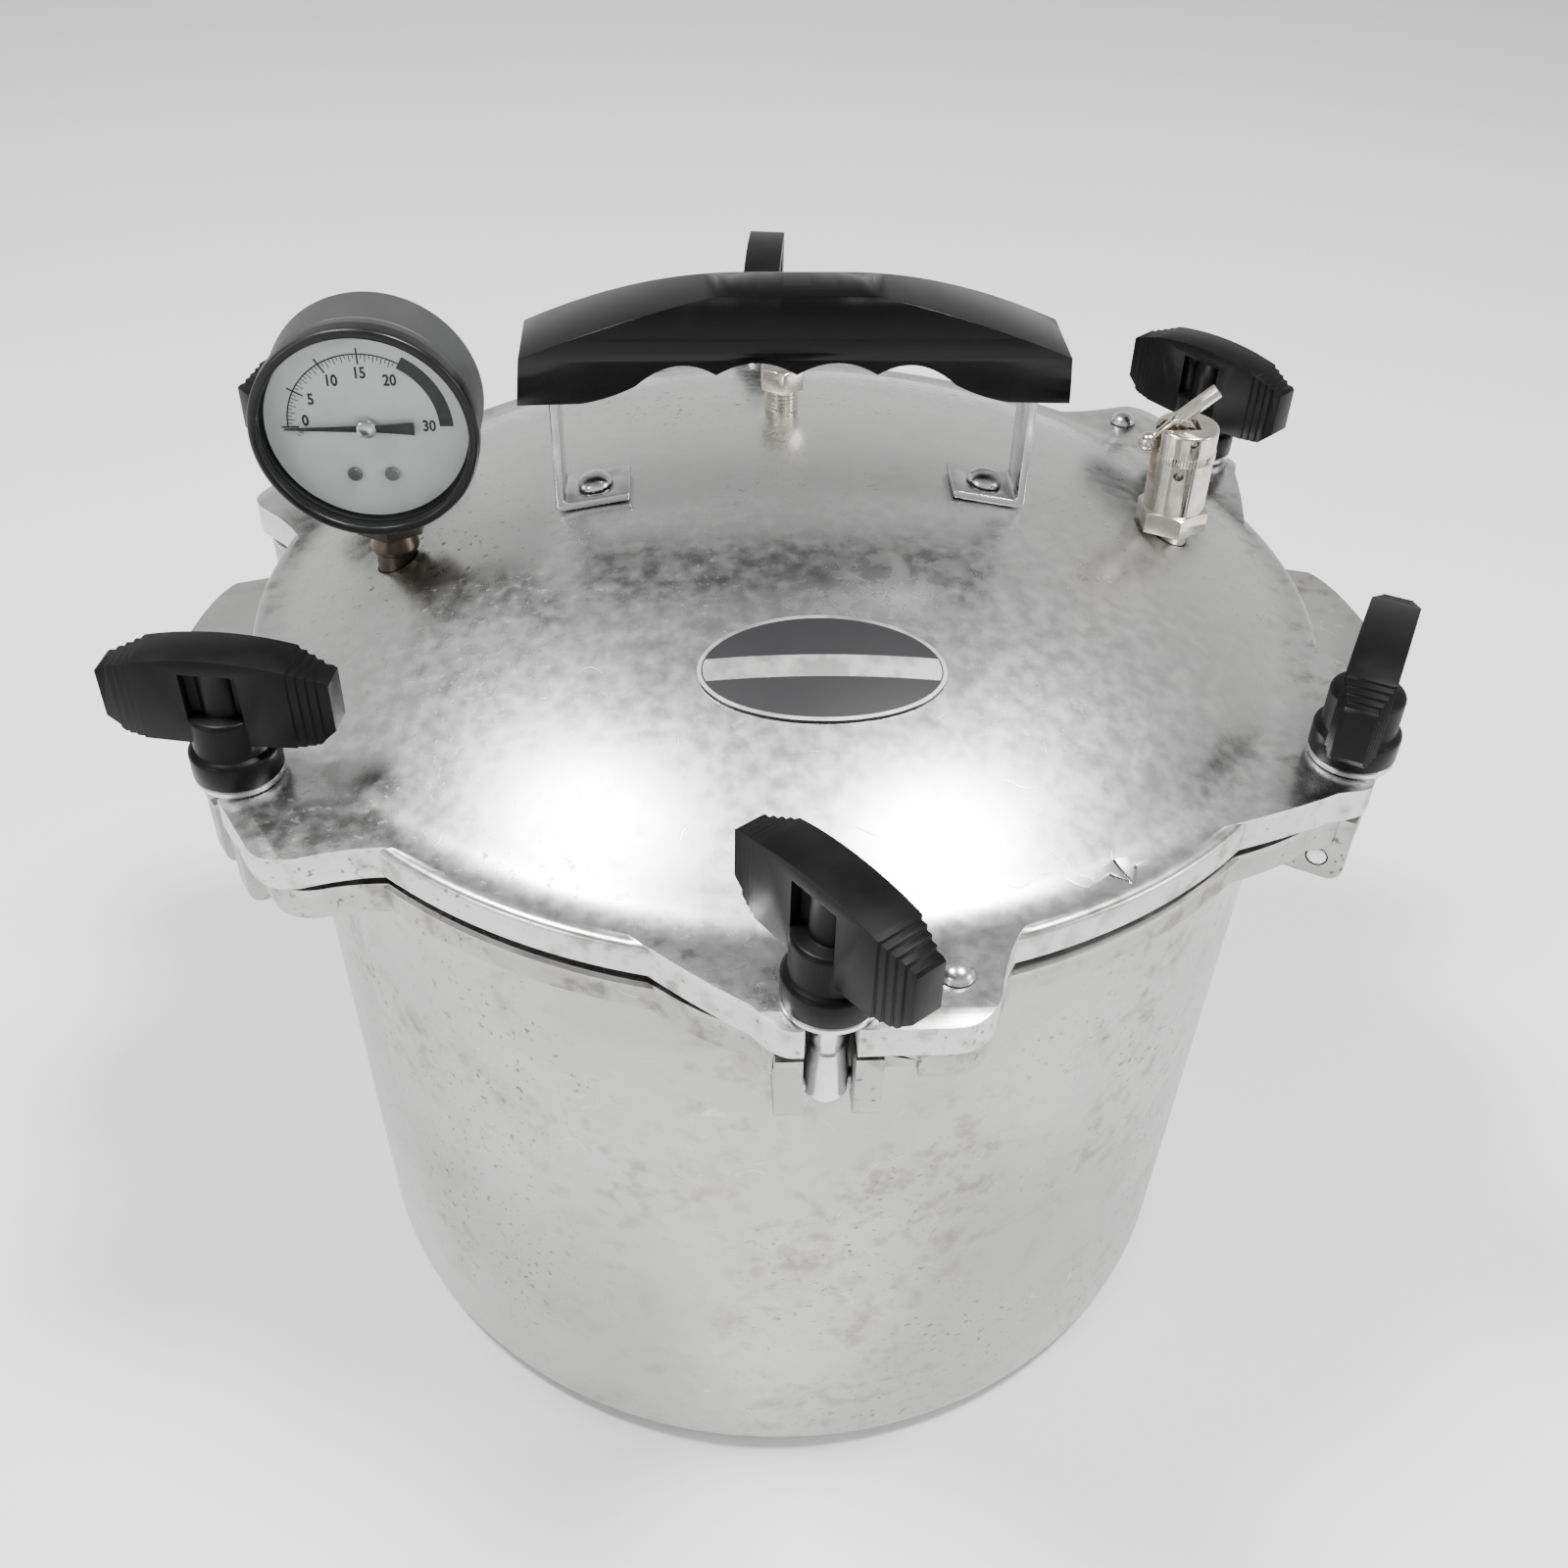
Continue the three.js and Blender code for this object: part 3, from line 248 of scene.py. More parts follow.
def refined(node, name, width, material, body, angle=30):
    """A CAD part's copy with its edges rounded, for parts whose shape is already right."""
    twin = copied(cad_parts[node], name)
    twin.parent = None
    for key in list(twin.keys()):
        del twin[key]
    edit(twin)
    bpy.ops.mesh.remove_doubles(threshold=0.01 * MM)
    bpy.ops.mesh.dissolve_limited(angle_limit=math.radians(0.5))
    done()
    softened(twin, width, angle=angle)
    return hand_over(twin, body, [node], material)


# %% [markdown]
# ## Finishes
# Used cookware is never one colour. Each finish mixes a broad cloudiness, fine dark pits and
# thin scratches, and lets them change the roughness and the bump together, as real wear does.

# %% Node helpers for the finishes
class Finish:
    """A principled material with short ways to add procedural detail."""

    def __init__(self, name, color, roughness, metallic=0.0):
        self.material = bpy.data.materials.new(name)
        self.material.use_nodes = True
        self.nodes = self.material.node_tree.nodes
        self.links = self.material.node_tree.links
        self.shader = self.nodes["Principled BSDF"]
        self.shader.inputs["Base Color"].default_value = (*color, 1)
        self.shader.inputs["Roughness"].default_value = roughness
        self.shader.inputs["Metallic"].default_value = metallic
        self.place = self.nodes.new("ShaderNodeTexCoord").outputs["Object"]

    def stretched(self, scale):
        mapping = self.nodes.new("ShaderNodeMapping")
        mapping.inputs["Scale"].default_value = scale
        self.links.new(self.place, mapping.inputs["Vector"])
        return mapping.outputs["Vector"]

    def noise(self, scale, detail=4.0, stretch=(1, 1, 1), vector=None):
        node = self.nodes.new("ShaderNodeTexNoise")
        node.inputs["Scale"].default_value = scale
        node.inputs["Detail"].default_value = detail
        self.links.new(vector or self.stretched(stretch), node.inputs["Vector"])
        return node.outputs["Fac"]

    def spread(self, value, from_low, from_high, to_low=0.0, to_high=1.0):
        node = self.nodes.new("ShaderNodeMapRange")
        for socket, number in zip(range(1, 5), (from_low, from_high, to_low, to_high)):
            node.inputs[socket].default_value = number
        self.links.new(value, node.inputs[0])
        return node.outputs[0]

    def maths(self, operation, a, b=None):
        node = self.nodes.new("ShaderNodeMath")
        node.operation = operation
        for i, value in enumerate((a, b)):
            if value is None:
                continue
            if isinstance(value, (int, float)):
                node.inputs[i].default_value = value
            else:
                self.links.new(value, node.inputs[i])
        return node.outputs[0]

    def blend(self, factor, first, second):
        node = self.nodes.new("ShaderNodeMix")
        node.data_type = "RGBA"
        self.links.new(factor, node.inputs["Factor"])
        for socket, value in ((node.inputs[6], first), (node.inputs[7], second)):
            if isinstance(value, tuple):
                socket.default_value = (*value, 1)
            else:
                self.links.new(value, socket)
        return node.outputs[2]

    def scratches(self, scale, width, stretch=(1, 1, 1)):
        """Thin winding lines where a noise crosses its middle."""
        away = self.maths("ABSOLUTE", self.maths("SUBTRACT", self.noise(scale, 1.0, stretch), 0.5))
        line = self.spread(away, 0.0, width, 1.0, 0.0)
        return self.maths("MULTIPLY", line, self.spread(self.noise(scale * 2.3, 2.0), 0.56, 0.62))

    def bump(self, height, strength, distance):
        node = self.nodes.new("ShaderNodeBump")
        node.inputs["Strength"].default_value = strength
        node.inputs["Distance"].default_value = distance * MM
        self.links.new(height, node.inputs["Height"])
        self.links.new(node.outputs["Normal"], self.shader.inputs["Normal"])

    def set(self, socket, value):
        self.links.new(value, self.shader.inputs[socket])


# %% Cast and polished aluminium
def aluminium(name, bright, dull, smooth, rough, brush, cast_below, wear, grained):
    """Metal with stains and pits. Above cast_below, in mm, it is polished, below it is rough."""
    f = Finish(name, bright, smooth, 1.0)
    f.shader.inputs["Anisotropic"].default_value = grained
    cloud = f.spread(f.noise(9, 6.0), 0.38, 0.68)
    stain = f.spread(f.noise(42, 7.0), 0.57, 0.70)
    pits = f.maths("MULTIPLY", f.spread(f.noise(430, 3.0), 0.62, 0.70), f.spread(f.noise(14, 3.0), 0.45, 0.62))
    lines = f.scratches(38, 0.004)
    grain = f.noise(210, 3.0, brush)
    split = f.nodes.new("ShaderNodeSeparateXYZ")
    f.links.new(f.place, split.inputs[0])
    across = f.maths("SQRT", f.maths("ADD", f.maths("POWER", split.outputs[0], 2),
                                     f.maths("POWER", split.outputs[1], 2)))
    outer = f.spread(across, (FLANGE_R - 4) * MM, (FLANGE_R - 1) * MM)
    under = f.spread(split.outputs[2], (cast_below - 1.5) * MM, cast_below * MM, 1.0, 0.0)
    raw = f.maths("MULTIPLY", outer, under)
    color = f.blend(cloud, bright, dull)
    color = f.blend(f.maths("MULTIPLY", stain, wear), color, (0.24, 0.225, 0.20))
    color = f.blend(f.maths("MULTIPLY", pits, 0.75), color, (0.10, 0.095, 0.085))
    color = f.blend(f.maths("MULTIPLY", lines, 0.35), color, (0.86, 0.86, 0.84))
    rim = f.spread(across, 146 * MM, 162 * MM)
    dirt = f.maths("MULTIPLY", f.spread(f.noise(150, 6.0), 0.50, 0.66), f.spread(f.noise(21, 3.0), 0.40, 0.62))
    dirt = f.maths("MULTIPLY", dirt, f.maths("MULTIPLY", rim, 0.62))
    color = f.blend(dirt, color, (0.115, 0.10, 0.08))
    f.set("Base Color", color)
    gloss = f.maths("ADD", f.spread(cloud, 0, 1, smooth, rough), f.spread(grain, 0.3, 0.7, -0.035, 0.05))
    gloss = f.maths("ADD", gloss, f.maths("MULTIPLY", f.maths("ADD", f.maths("MULTIPLY", stain, wear), pits), 0.2))
    f.set("Roughness", f.maths("MINIMUM", f.maths("ADD", gloss, f.maths("MULTIPLY", raw, 0.2)), 0.8))
    relief = f.maths("ADD", f.maths("MULTIPLY", grain, 0.06), f.maths("MULTIPLY", cloud, 0.05))
    relief = f.maths("SUBTRACT", relief, f.maths("MULTIPLY", f.maths("ADD", pits, lines), 0.3))
    sand = f.maths("MULTIPLY", f.noise(620, 4.0), f.spread(raw, 0, 1, 0.0, 1.4))
    f.bump(f.maths("ADD", relief, sand), 0.5, 0.12)
    return f.material


POT_METAL = aluminium("pot_metal", (0.46, 0.456, 0.448), (0.35, 0.347, 0.34), 0.29, 0.37,
                      (0.05, 0.05, 6), POT_TOP - 1, 0.24, 0.55)
LID_METAL = aluminium("lid_metal", (0.62, 0.62, 0.615), (0.57, 0.57, 0.565), 0.25, 0.31,
                      (1, 1, 1), LID_TOP - 1, 0.10, 0.2)
RACK_METAL = aluminium("rack_metal", (0.60, 0.60, 0.59), (0.48, 0.48, 0.47), 0.34, 0.44,
                       (1, 1, 1), 0, 0.2, 0.0)


# %% Steel, nickel, brass and black finishes
def plain_metal(name, color, roughness, dirt):
    f = Finish(name, color, roughness, 1.0)
    cloud = f.spread(f.noise(120, 5.0), 0.42, 0.66)
    f.set("Base Color", f.blend(f.maths("MULTIPLY", cloud, dirt), color, tuple(c * 0.35 for c in color)))
    f.set("Roughness", f.spread(cloud, 0, 1, roughness, roughness + 0.16))
    f.bump(f.maths("ADD", f.noise(900, 3.0), f.scratches(160, 0.01)), 0.25, 0.02)
    return f.material


STEEL = plain_metal("bright_steel", (0.68, 0.68, 0.69), 0.19, 0.35)
NICKEL = plain_metal("nickel_plate", (0.68, 0.645, 0.59), 0.16, 0.5)
BRASS = plain_metal("brass", (0.60, 0.44, 0.20), 0.32, 0.4)
DULL_STEEL = plain_metal("dull_steel", (0.30, 0.30, 0.30), 0.34, 0.5)
SOCKET = plain_metal("tarnished_brass", (0.075, 0.062, 0.05), 0.36, 0.6)


def black(name, color, roughness, grain_scale, grain, dust, shine):
    f = Finish(name, color, roughness)
    f.shader.inputs["Specular IOR Level"].default_value = shine
    cloud = f.spread(f.noise(55, 5.0), 0.45, 0.70)
    f.set("Base Color", f.blend(f.maths("MULTIPLY", cloud, dust), color, (0.045, 0.044, 0.042)))
    f.set("Roughness", f.spread(cloud, 0, 1, roughness, roughness + 0.13))
    f.bump(f.maths("ADD", f.noise(grain_scale, 3.0), f.scratches(130, 0.008)), grain, 0.03)
    return f.material


BAKELITE = black("nut_bakelite", (0.003, 0.003, 0.0033), 0.36, 1500, 0.30, 0.06, 0.11)
GLOSS = black("handle_gloss", (0.002, 0.002, 0.0022), 0.11, 240, 0.05, 0.02, 0.26)
ENAMEL = black("gauge_enamel", (0.022, 0.023, 0.023), 0.46, 1800, 0.30, 0.35, 0.4)
BEZEL = black("bezel_enamel", (0.005, 0.005, 0.005), 0.30, 900, 0.15, 0.1, 0.3)
print("finishes", len(bpy.data.materials))

# %% [markdown]
# ## Lugs
# Six lugs grow out of each flange. They aren't symmetric: one side runs out gently and the
# other carries a shelf. Drawing the plan once and turning copies of it keeps the pot's lugs
# under the lid's.

# %% The plan of a lug, and its copies
SLOT_HALF = 6.4
EAR_T = 6.8
LUG_OUT = BOLT_CIRCLE + 9
LUG_SHORT = SLOT_HALF + EAR_T
LUG_LONG = LUG_SHORT + 23.8


def lug_plan(reach, z):
    edge = FLANGE_R - 4.5
    start = -math.asin((LUG_SHORT + 38) / FLANGE_R)
    end = math.asin((LUG_LONG + 17) / FLANGE_R)
    first = (edge * math.cos(start), edge * math.sin(start))
    last = (edge * math.cos(end), edge * math.sin(end))
    points = [first]
    points += bezier(first, (FLANGE_R + 5, -LUG_SHORT - 18), (reach - 8, -LUG_SHORT - 6), 12)
    points += bezier(points[-1], (reach, -LUG_SHORT), (reach, -LUG_SHORT + 4), 6)
    points += [(reach, LUG_LONG - 8)]
    points += bezier(points[-1], (reach, LUG_LONG + 1), (reach - 9, LUG_LONG + 4.5), 8)
    points += bezier(points[-1], (FLANGE_R - 4, LUG_LONG + 8), last, 12)
    points += arc(0, 0, FLANGE_R - 6, math.degrees(end), math.degrees(start), 14)
    return [(x, y, z) for x, y in points]


def round_clamps(piece):
    """Six copies of a piece drawn along +X, one at each clamp, joined into one."""
    rows = [placed(copied(piece, f"copy_{k}"), turn=(0, 0, clamp_turn(k))) for k in range(CLAMPS)]
    bpy.data.objects.remove(piece)
    return merged(rows)


def slot_cutter(z0, z1):
    back = BOLT_CIRCLE - 1.2
    plan = [(LUG_OUT + 10, -SLOT_HALF), (LUG_OUT + 10, SLOT_HALF)]
    plan += arc(back, 0, SLOT_HALF, 90, 270, 16)
    return prism("slot", [(x, y, z0) for x, y in plan], (0, 0, z1 - z0))


# %% [markdown]
# ## Pot
# The wall leans out a little towards the rim so that the casting leaves its mould. Its whole
# section is drawn once and spun, and the ears, shelves and side grips are joined on after.

# %% Pot section, spun
SEAT_R = POT_RIM_R - 0.5
SEAT_LOW_R = SEAT_R - 4
INNER_BASE = POT_BASE_R - 5
pot_profile = [(0, 0)] + arc(POT_BASE_R - 10, 10, 10, -90, 0, 10)
pot_profile += [(POT_BASE_R + 5.4 * t / 12, 10 + (FLANGE_LOW - 17) * t / 12) for t in range(1, 13)]
pot_profile += bezier(pot_profile[-1], (POT_RIM_R, FLANGE_LOW - 1), (FLANGE_R - 1.5, FLANGE_LOW), 6)
pot_profile += [(FLANGE_R, FLANGE_LOW + 1.5), (FLANGE_R, POT_TOP - 1), (FLANGE_R - 1, POT_TOP)]
pot_profile += [(SEAT_R, POT_TOP), (SEAT_LOW_R, POT_TOP - 7)]
pot_profile += arc(INNER_BASE - 8, 15, 8, 0, -90, 6) + [(0, 7)]
pot = spun("pot", pot_profile, ROUND)
print("pot faces", len(pot.data.polygons))

# %% Ears, shelves and side grips
ear_low = PIN_Z - 6.8
wall = POT_RIM_R - 1.5
ear_side = [(FLANGE_R - 5, POT_TOP), (LUG_OUT - 1, POT_TOP), (LUG_OUT - 1, ear_low + 5)]
ear_side += bezier(ear_side[-1], (LUG_OUT - 1, ear_low), (LUG_OUT - 6, ear_low), 5)
ear_side += [(wall + 8, ear_low)]
ear_side += bezier(ear_side[-1], (wall + 3, ear_low - 3), (wall, ear_low - 12), 6)
ear_side += [(wall, FLANGE_LOW - 1), (FLANGE_R - 5, FLANGE_LOW - 1)]
ears = prism("ears", [(x, -LUG_SHORT, z) for x, z in ear_side], (0, 2 * LUG_SHORT, 0))
shelf = prism("shelf", lug_plan(LUG_OUT - 4, FLANGE_LOW), (0, 0, POT_TOP - FLANGE_LOW))
lug = combined(ears, shelf, "UNION")
pocket = block("pocket", LUG_OUT - 7.4, LUG_OUT + 4, LUG_SHORT + 0.6, LUG_SHORT + 9, FLANGE_LOW - 1, FLANGE_LOW + 6)
lug = combined(lug, pocket, "DIFFERENCE")
lug = combined(lug, slot_cutter(ear_low - 20, POT_TOP + 1), "DIFFERENCE")
combined(pot, round_clamps(lug), "UNION")

grip_reach = high("pot_body").x
grip = [(FLANGE_R - 5, -50), (grip_reach - 14, -46)]
grip += bezier(grip[-1], (grip_reach - 3, -43), (grip_reach, -9.5), 10)
grip += bezier(grip[-1], (grip_reach - 3, 19), (grip_reach - 10, 27), 10)
grip += [(FLANGE_R - 5, 33)]
for side in (1, -1):
    outline = [(side * x, y, FLANGE_LOW) for x, y in grip]
    combined(pot, prism("grip", outline, (0, 0, POT_TOP - FLANGE_LOW)), "UNION")
pin_bore = placed(rod("bore", 3.3, -14, 11.7, 24), turn=(-90, 0, 0))
pin_bore = placed(pin_bore, at=(BOLT_CIRCLE, 0, PIN_Z))
combined(pot, round_clamps(pin_bore), "DIFFERENCE")
softened(pot, 0.9, 2, 45)
hand_over(pot, "pot", ["pot_body"], POT_METAL)
print("pot finished", len(pot.data.polygons))

# %% [markdown]
# ## Lid
# The dome is a part of a large sphere. A short hollow curve leads it into the flange, where a
# sharp corner would crack in casting. The rim below it enters the pot on a cone.

# %% Lid section, spun
def dome(r, lift=0.0):
    return DOME_CENTRE + math.sqrt((DOME_R + lift) ** 2 - r ** 2)


seat_top = SEAT_R - 0.4 + 2.5 * 4 / 7
spigot = SEAT_R - 0.4 - 4
bore = spigot - 6.6
lid_profile = [(153 * t / 44, dome(153 * t / 44)) for t in range(45)]
lid_profile += bezier(lid_profile[-1], (DOME_EDGE_R, LID_TOP + 0.3), (FLANGE_R - 3.6, LID_TOP), 7)
lid_profile += bezier(lid_profile[-1], (FLANGE_R, LID_TOP), (FLANGE_R, LID_TOP - 2.4), 5)
lid_profile += [(FLANGE_R, LID_UNDER + 1), (FLANGE_R - 1, LID_UNDER), (seat_top, LID_UNDER)]
lid_profile += [(spigot, POT_TOP - 7), (spigot - 1.2, POT_TOP - 8.2), (bore, POT_TOP - 8.2)]
lid_profile += [(bore, dome(bore, -6) - 5)]
lid_profile += [(146 * t / 20, dome(146 * t / 20, -6) - (0.9 if t == 20 else 0)) for t in range(20, -1, -1)]
lid = spun("lid", lid_profile, ROUND)

# %% Lid lugs, slots and bores
lid_lug = prism("lid_lug", lug_plan(LUG_OUT, LID_UNDER), (0, 0, LID_TOP - LID_UNDER))
over = [(BOLT_CIRCLE + 0.5, LID_TOP + 8)] + arc(BOLT_CIRCLE, PIN_Z, LID_TOP + 0.2 - PIN_Z, 86, 60, 8)
over += [(LUG_OUT + 12, LID_TOP - 4), (LUG_OUT + 12, LID_TOP + 8)]
lid_lug = combined(lid_lug, prism("over", [(x, -65, z) for x, z in over], (0, 130, 0)), "DIFFERENCE")
lid_lug = combined(lid_lug, slot_cutter(LID_UNDER - 2, LID_TOP + 2), "DIFFERENCE")
combined(lid, round_clamps(lid_lug), "UNION")
STUD_AT = (BOLT_CIRCLE - 7.2, LUG_LONG - 5.5)
for k in (0, 2):
    hole = placed(rod("stud_hole", 2.8, LID_UNDER - 5, LID_TOP + 5), at=(*STUD_AT, 0))
    combined(lid, placed(hole, turn=(0, 0, clamp_turn(k))), "DIFFERENCE")
gauge_x, gauge_y = middle("gauge_socket").x, middle("gauge_socket").y
petcock_x, petcock_y = middle("petcock_pin").x, middle("petcock_pin").y
relief_y = middle("relief_body").y
for x, y, r in ((gauge_x, gauge_y, 6.3), (petcock_x, petcock_y, 6.3), (0, relief_y, 4.8)):
    combined(lid, placed(rod("fitting_hole", r, LID_UNDER, DOME_TOP + 5), at=(x, y, 0)), "DIFFERENCE")
RIVET_X = 59
HANDLE_TILT = math.degrees(math.asin(RIVET_X / DOME_R))
for side in (1, -1):
    hole = placed(rod("rivet_hole", 3.3, -14, 6), turn=(0, side * HANDLE_TILT, 0))
    combined(lid, placed(hole, at=(side * RIVET_X, 0, dome(RIVET_X))), "DIFFERENCE")


# %% The engraved arrow
def groove(name, start, end, z, width, depth):
    run = Vector(end) - Vector(start)
    bar = block(name, 0, run.length, -width / 2, width / 2, -depth, depth)
    return placed(bar, at=(*start, z), turn=(0, 0, math.degrees(math.atan2(run.y, run.x))))


tip = (81.6, -141.2)
for end in ((75.4, -130.4), (83.4, -135.0), (75.6, -138.6)):
    combined(lid, groove("arrow", tip, end, LID_TOP + 0.6, 0.8, 1.3), "DIFFERENCE")
softened(lid, 1.1, 3, 45)
hand_over(lid, "lid", ["lid_body"], LID_METAL)
print("lid finished", len(lid.data.polygons))

# %% [markdown]
# ## Swing bolts and washers
# A bolt is a ball-footed forging with a bell-shaped neck under its thread. Copies are turned
# round the canner, and each rides on its own body so that it can swing alone.

# %% Bolts and washers
bolt_top = high("swing_bolt_1").z
bolt_profile = [(0, PIN_Z - 6.1)] + arc(0, PIN_Z, 6.1, -80, 8, 12)
bolt_profile += bezier(bolt_profile[-1], (5.6, PIN_Z + 7), (4.7, PIN_Z + 13), 8)
bolt_profile += [(4.1, PIN_Z + 13.6), (4.1, PIN_Z + 16), (4.5, PIN_Z + 16.5)]
bolt_profile += [(4.5, PIN_Z + 21), (3.9, PIN_Z + 21.6)]
thread = PIN_Z + 22
while thread < bolt_top - 3:
    bolt_profile += [(3.9, thread), (4.5, thread + 0.7), (4.5, thread + 1.1), (3.9, thread + 1.8)]
    thread += 2
bolt_profile += [(4.3, bolt_top - 1), (3.5, bolt_top), (0, bolt_top)]
bolt = spun("bolt", bolt_profile, 40)
eye = placed(rod("eye", 3.3, -7.5, 7.5, 24), turn=(-90, 0, 0))
combined(bolt, placed(eye, at=(0, 0, PIN_Z)), "DIFFERENCE")
softened(placed(bolt, at=(BOLT_CIRCLE, 0, 0)), 0)
washer_low, washer_high = low("clamp_washer_1").z, high("clamp_washer_1").z
washer_profile = [(4.8, washer_low), (11.6, washer_low), (12, washer_low + 0.4),
                  (12, washer_high - 0.6), (11.4, washer_high), (4.8, washer_high)]
washer = placed(spun("washer", washer_profile, 64, closed=True), at=(BOLT_CIRCLE, 0, 0))
softened(washer, 0)
insert_top = high("nut_insert_1").z
insert_profile = [(4.8, NUT_Z), (7.4, NUT_Z), (7.4, insert_top), (4.8, insert_top)]
insert = softened(placed(spun("insert", insert_profile, 48, closed=True), at=(BOLT_CIRCLE, 0, 0)), 0.2)
for k in range(CLAMPS):
    n = k + 1
    turn = (0, 0, clamp_turn(k))
    hand_over(placed(copied(bolt, f"bolt_{n}_forged"), turn=turn), f"bolt_{n}", [f"swing_bolt_{n}"],
              STEEL)
    hand_over(placed(copied(washer, f"washer_{n}_round"), turn=turn), f"washer_{n}",
              [f"clamp_washer_{n}"], STEEL)
    refined(f"hinge_pin_{n}", f"hinge_pin_{n}_round", 0.3, STEEL, "pot")
    hand_over(placed(copied(insert, f"nut_insert_{n}_round"), turn=turn), f"insert_{n}",
              [f"nut_insert_{n}"], BRASS)
bpy.data.objects.remove(bolt)
bpy.data.objects.remove(insert)
bpy.data.objects.remove(washer)

# %% [markdown]
# ## Wing nuts
# The moulded nut is a bar whose crown arches and whose ends step down in four ribs for the
# fingers. Crossing a side view with a plan gives the steps on both faces at once. A pocket in
# each long face shows the round hub that holds the threaded insert.

# %% One wing nut, cut from two outlines
NUT_TURNS = [-53, 2, 10, 84, -20, 52]      # where each nut stopped, degrees from the rim
NUT_H = 39
HALF = 31
HALF_T = 6.75
side_view = [(0, NUT_H)]
STEP_RUN = 2.3
SHOULDER = HALF - 0.8 - 4 * STEP_RUN
side_view += bezier((0, NUT_H), (11, NUT_H), (SHOULDER, NUT_H - 2.4), 10)
for i in range(4):
    x = SHOULDER + STEP_RUN * i
    z = NUT_H - 2.4 - 0.95 * i
    side_view += [(x + 0.3, z - 0.7), (x + 2.1, z - 0.9)]
side_view += [(HALF, NUT_H - 7), (HALF, 17.5), (HALF - 4.5, 13), (9.5, 12.2), (0, 12.2)]
mirrored = [(-x, z) for x, z in reversed(side_view[1:-1])]
outline = [(x, -10, z) for x, z in side_view + mirrored]
wings = prism("wings", outline, (0, 20, 0))
plan = [(-HALF - 1, HALF_T - 2.4)]
for i in range(4):
    x = -HALF + 1.2 + STEP_RUN * (i + 1)
    y = HALF_T - 2.6 + 0.65 * i
    plan += [(x - 0.3, y), (x, y + 0.65)]
plan += [(-x, y) for x, y in reversed(plan)]
plan += [(x, -y) for x, y in reversed(plan)]
steps = prism("steps", [(x, y, 0) for x, y in plan], (0, 0, 50))
nut = combined(wings, steps, "INTERSECT")
for side in (1, -1):
    inner, outer = sorted((side * (HALF_T - 3.2), side * (HALF_T + 2)))
    combined(nut, block("pocket", -7.6, 7.6, inner, outer, 15, 34.2), "DIFFERENCE")
hub = [(0, 0), (12.2, 0), (12.2, 6.6)] + bezier((12.2, 6.6), (12.2, 7.6), (10.4, 8.4), 4)
hub += [(10.4, 18.6)] + bezier((10.4, 18.6), (10.4, 19.8), (9.2, 20.2), 4) + [(6.0, 20.4), (6.0, 35), (0, 35)]
combined(nut, spun("hub", hub, 48), "UNION")
combined(nut, rod("insert_room", 7.7, -1, 18.7, 32), "DIFFERENCE")
combined(nut, rod("bolt_room", 4.8, 0, 32, 32), "DIFFERENCE")
softened(nut, 0.45, 2, 30)
for k in range(CLAMPS):
    n = k + 1
    bearing = clamp_turn(k)
    twin = placed(copied(nut, f"wing_nut_{n}_moulded"), turn=(0, 0, 90 + NUT_TURNS[k]), at=(BOLT_CIRCLE, 0, NUT_Z))
    hand_over(placed(twin, turn=(0, 0, bearing)), f"nut_{n}", [f"wing_nut_{n}"], BAKELITE)
print("wing nut faces", len(nut.data.polygons))
bpy.data.objects.remove(nut)

# %% [markdown]
# ## Handle
# The grip arches over four finger hollows. Its side view is crossed with a rounded section, so
# the top stays full and the lower edges stay slim.

# %% Handle grip, brackets and fasteners
TOP = high("handle_grip").z
END_LOW = TOP - 33
UNDER = TOP - 23
grip_side = [(-80, END_LOW), (-62, END_LOW + 0.5)]
grip_side += bezier(grip_side[-1], (-54, END_LOW + 2), (-46, UNDER - 3.5), 8)
for i in range(4):
    x = -46 + 23 * i
    end = UNDER - 3.5 if i == 3 else UNDER
    grip_side += bezier(grip_side[-1], (x + 11.5, UNDER + 7.5), (x + 23, end), 12)
grip_side += bezier(grip_side[-1], (54, END_LOW + 2), (62, END_LOW + 0.5), 8)
grip_side += [(80, END_LOW), (78.5, TOP - 18)]
grip_side += bezier(grip_side[-1], (36, TOP), (0, TOP), 20)
grip_side += bezier(grip_side[-1], (-36, TOP), (-78.5, TOP - 18), 20)
grip_bar = prism("grip_bar", [(x, -20, z) for x, z in grip_side], (0, 40, 0))
section = [(-10.5, END_LOW - 2), (10.5, END_LOW - 2)]
section += bezier(section[-1], (13.5, END_LOW + 4), (13.5, TOP - 12), 10)
section += bezier(section[-1], (12.5, TOP + 0.5), (0, TOP + 0.5), 14)
section += bezier(section[-1], (-12.5, TOP + 0.5), (-13.5, TOP - 12), 14)
section += bezier(section[-1], (-13.5, END_LOW + 4), (-10.5, END_LOW - 2), 10)[:-1]
through = prism("section", [(-90, y, z) for y, z in section], (180, 0, 0))
combined(grip_bar, through, "INTERSECT")
for side in (1, -1):
    x = 70 * side
    combined(grip_bar, block("socket", x - 1.55, x + 1.55, -9.3, 9.3, END_LOW - 3, TOP - 29.7), "DIFFERENCE")
softened(grip_bar, 1.3, 3, 38)
grip_bar.name = "handle_grip_moulded"
hand_over(grip_bar, "lid", ["handle_grip"], GLOSS)
for node in ("handle_bracket_left", "handle_bracket_right"):
    refined(node, node + "_bent", 0.5, STEEL, "lid")


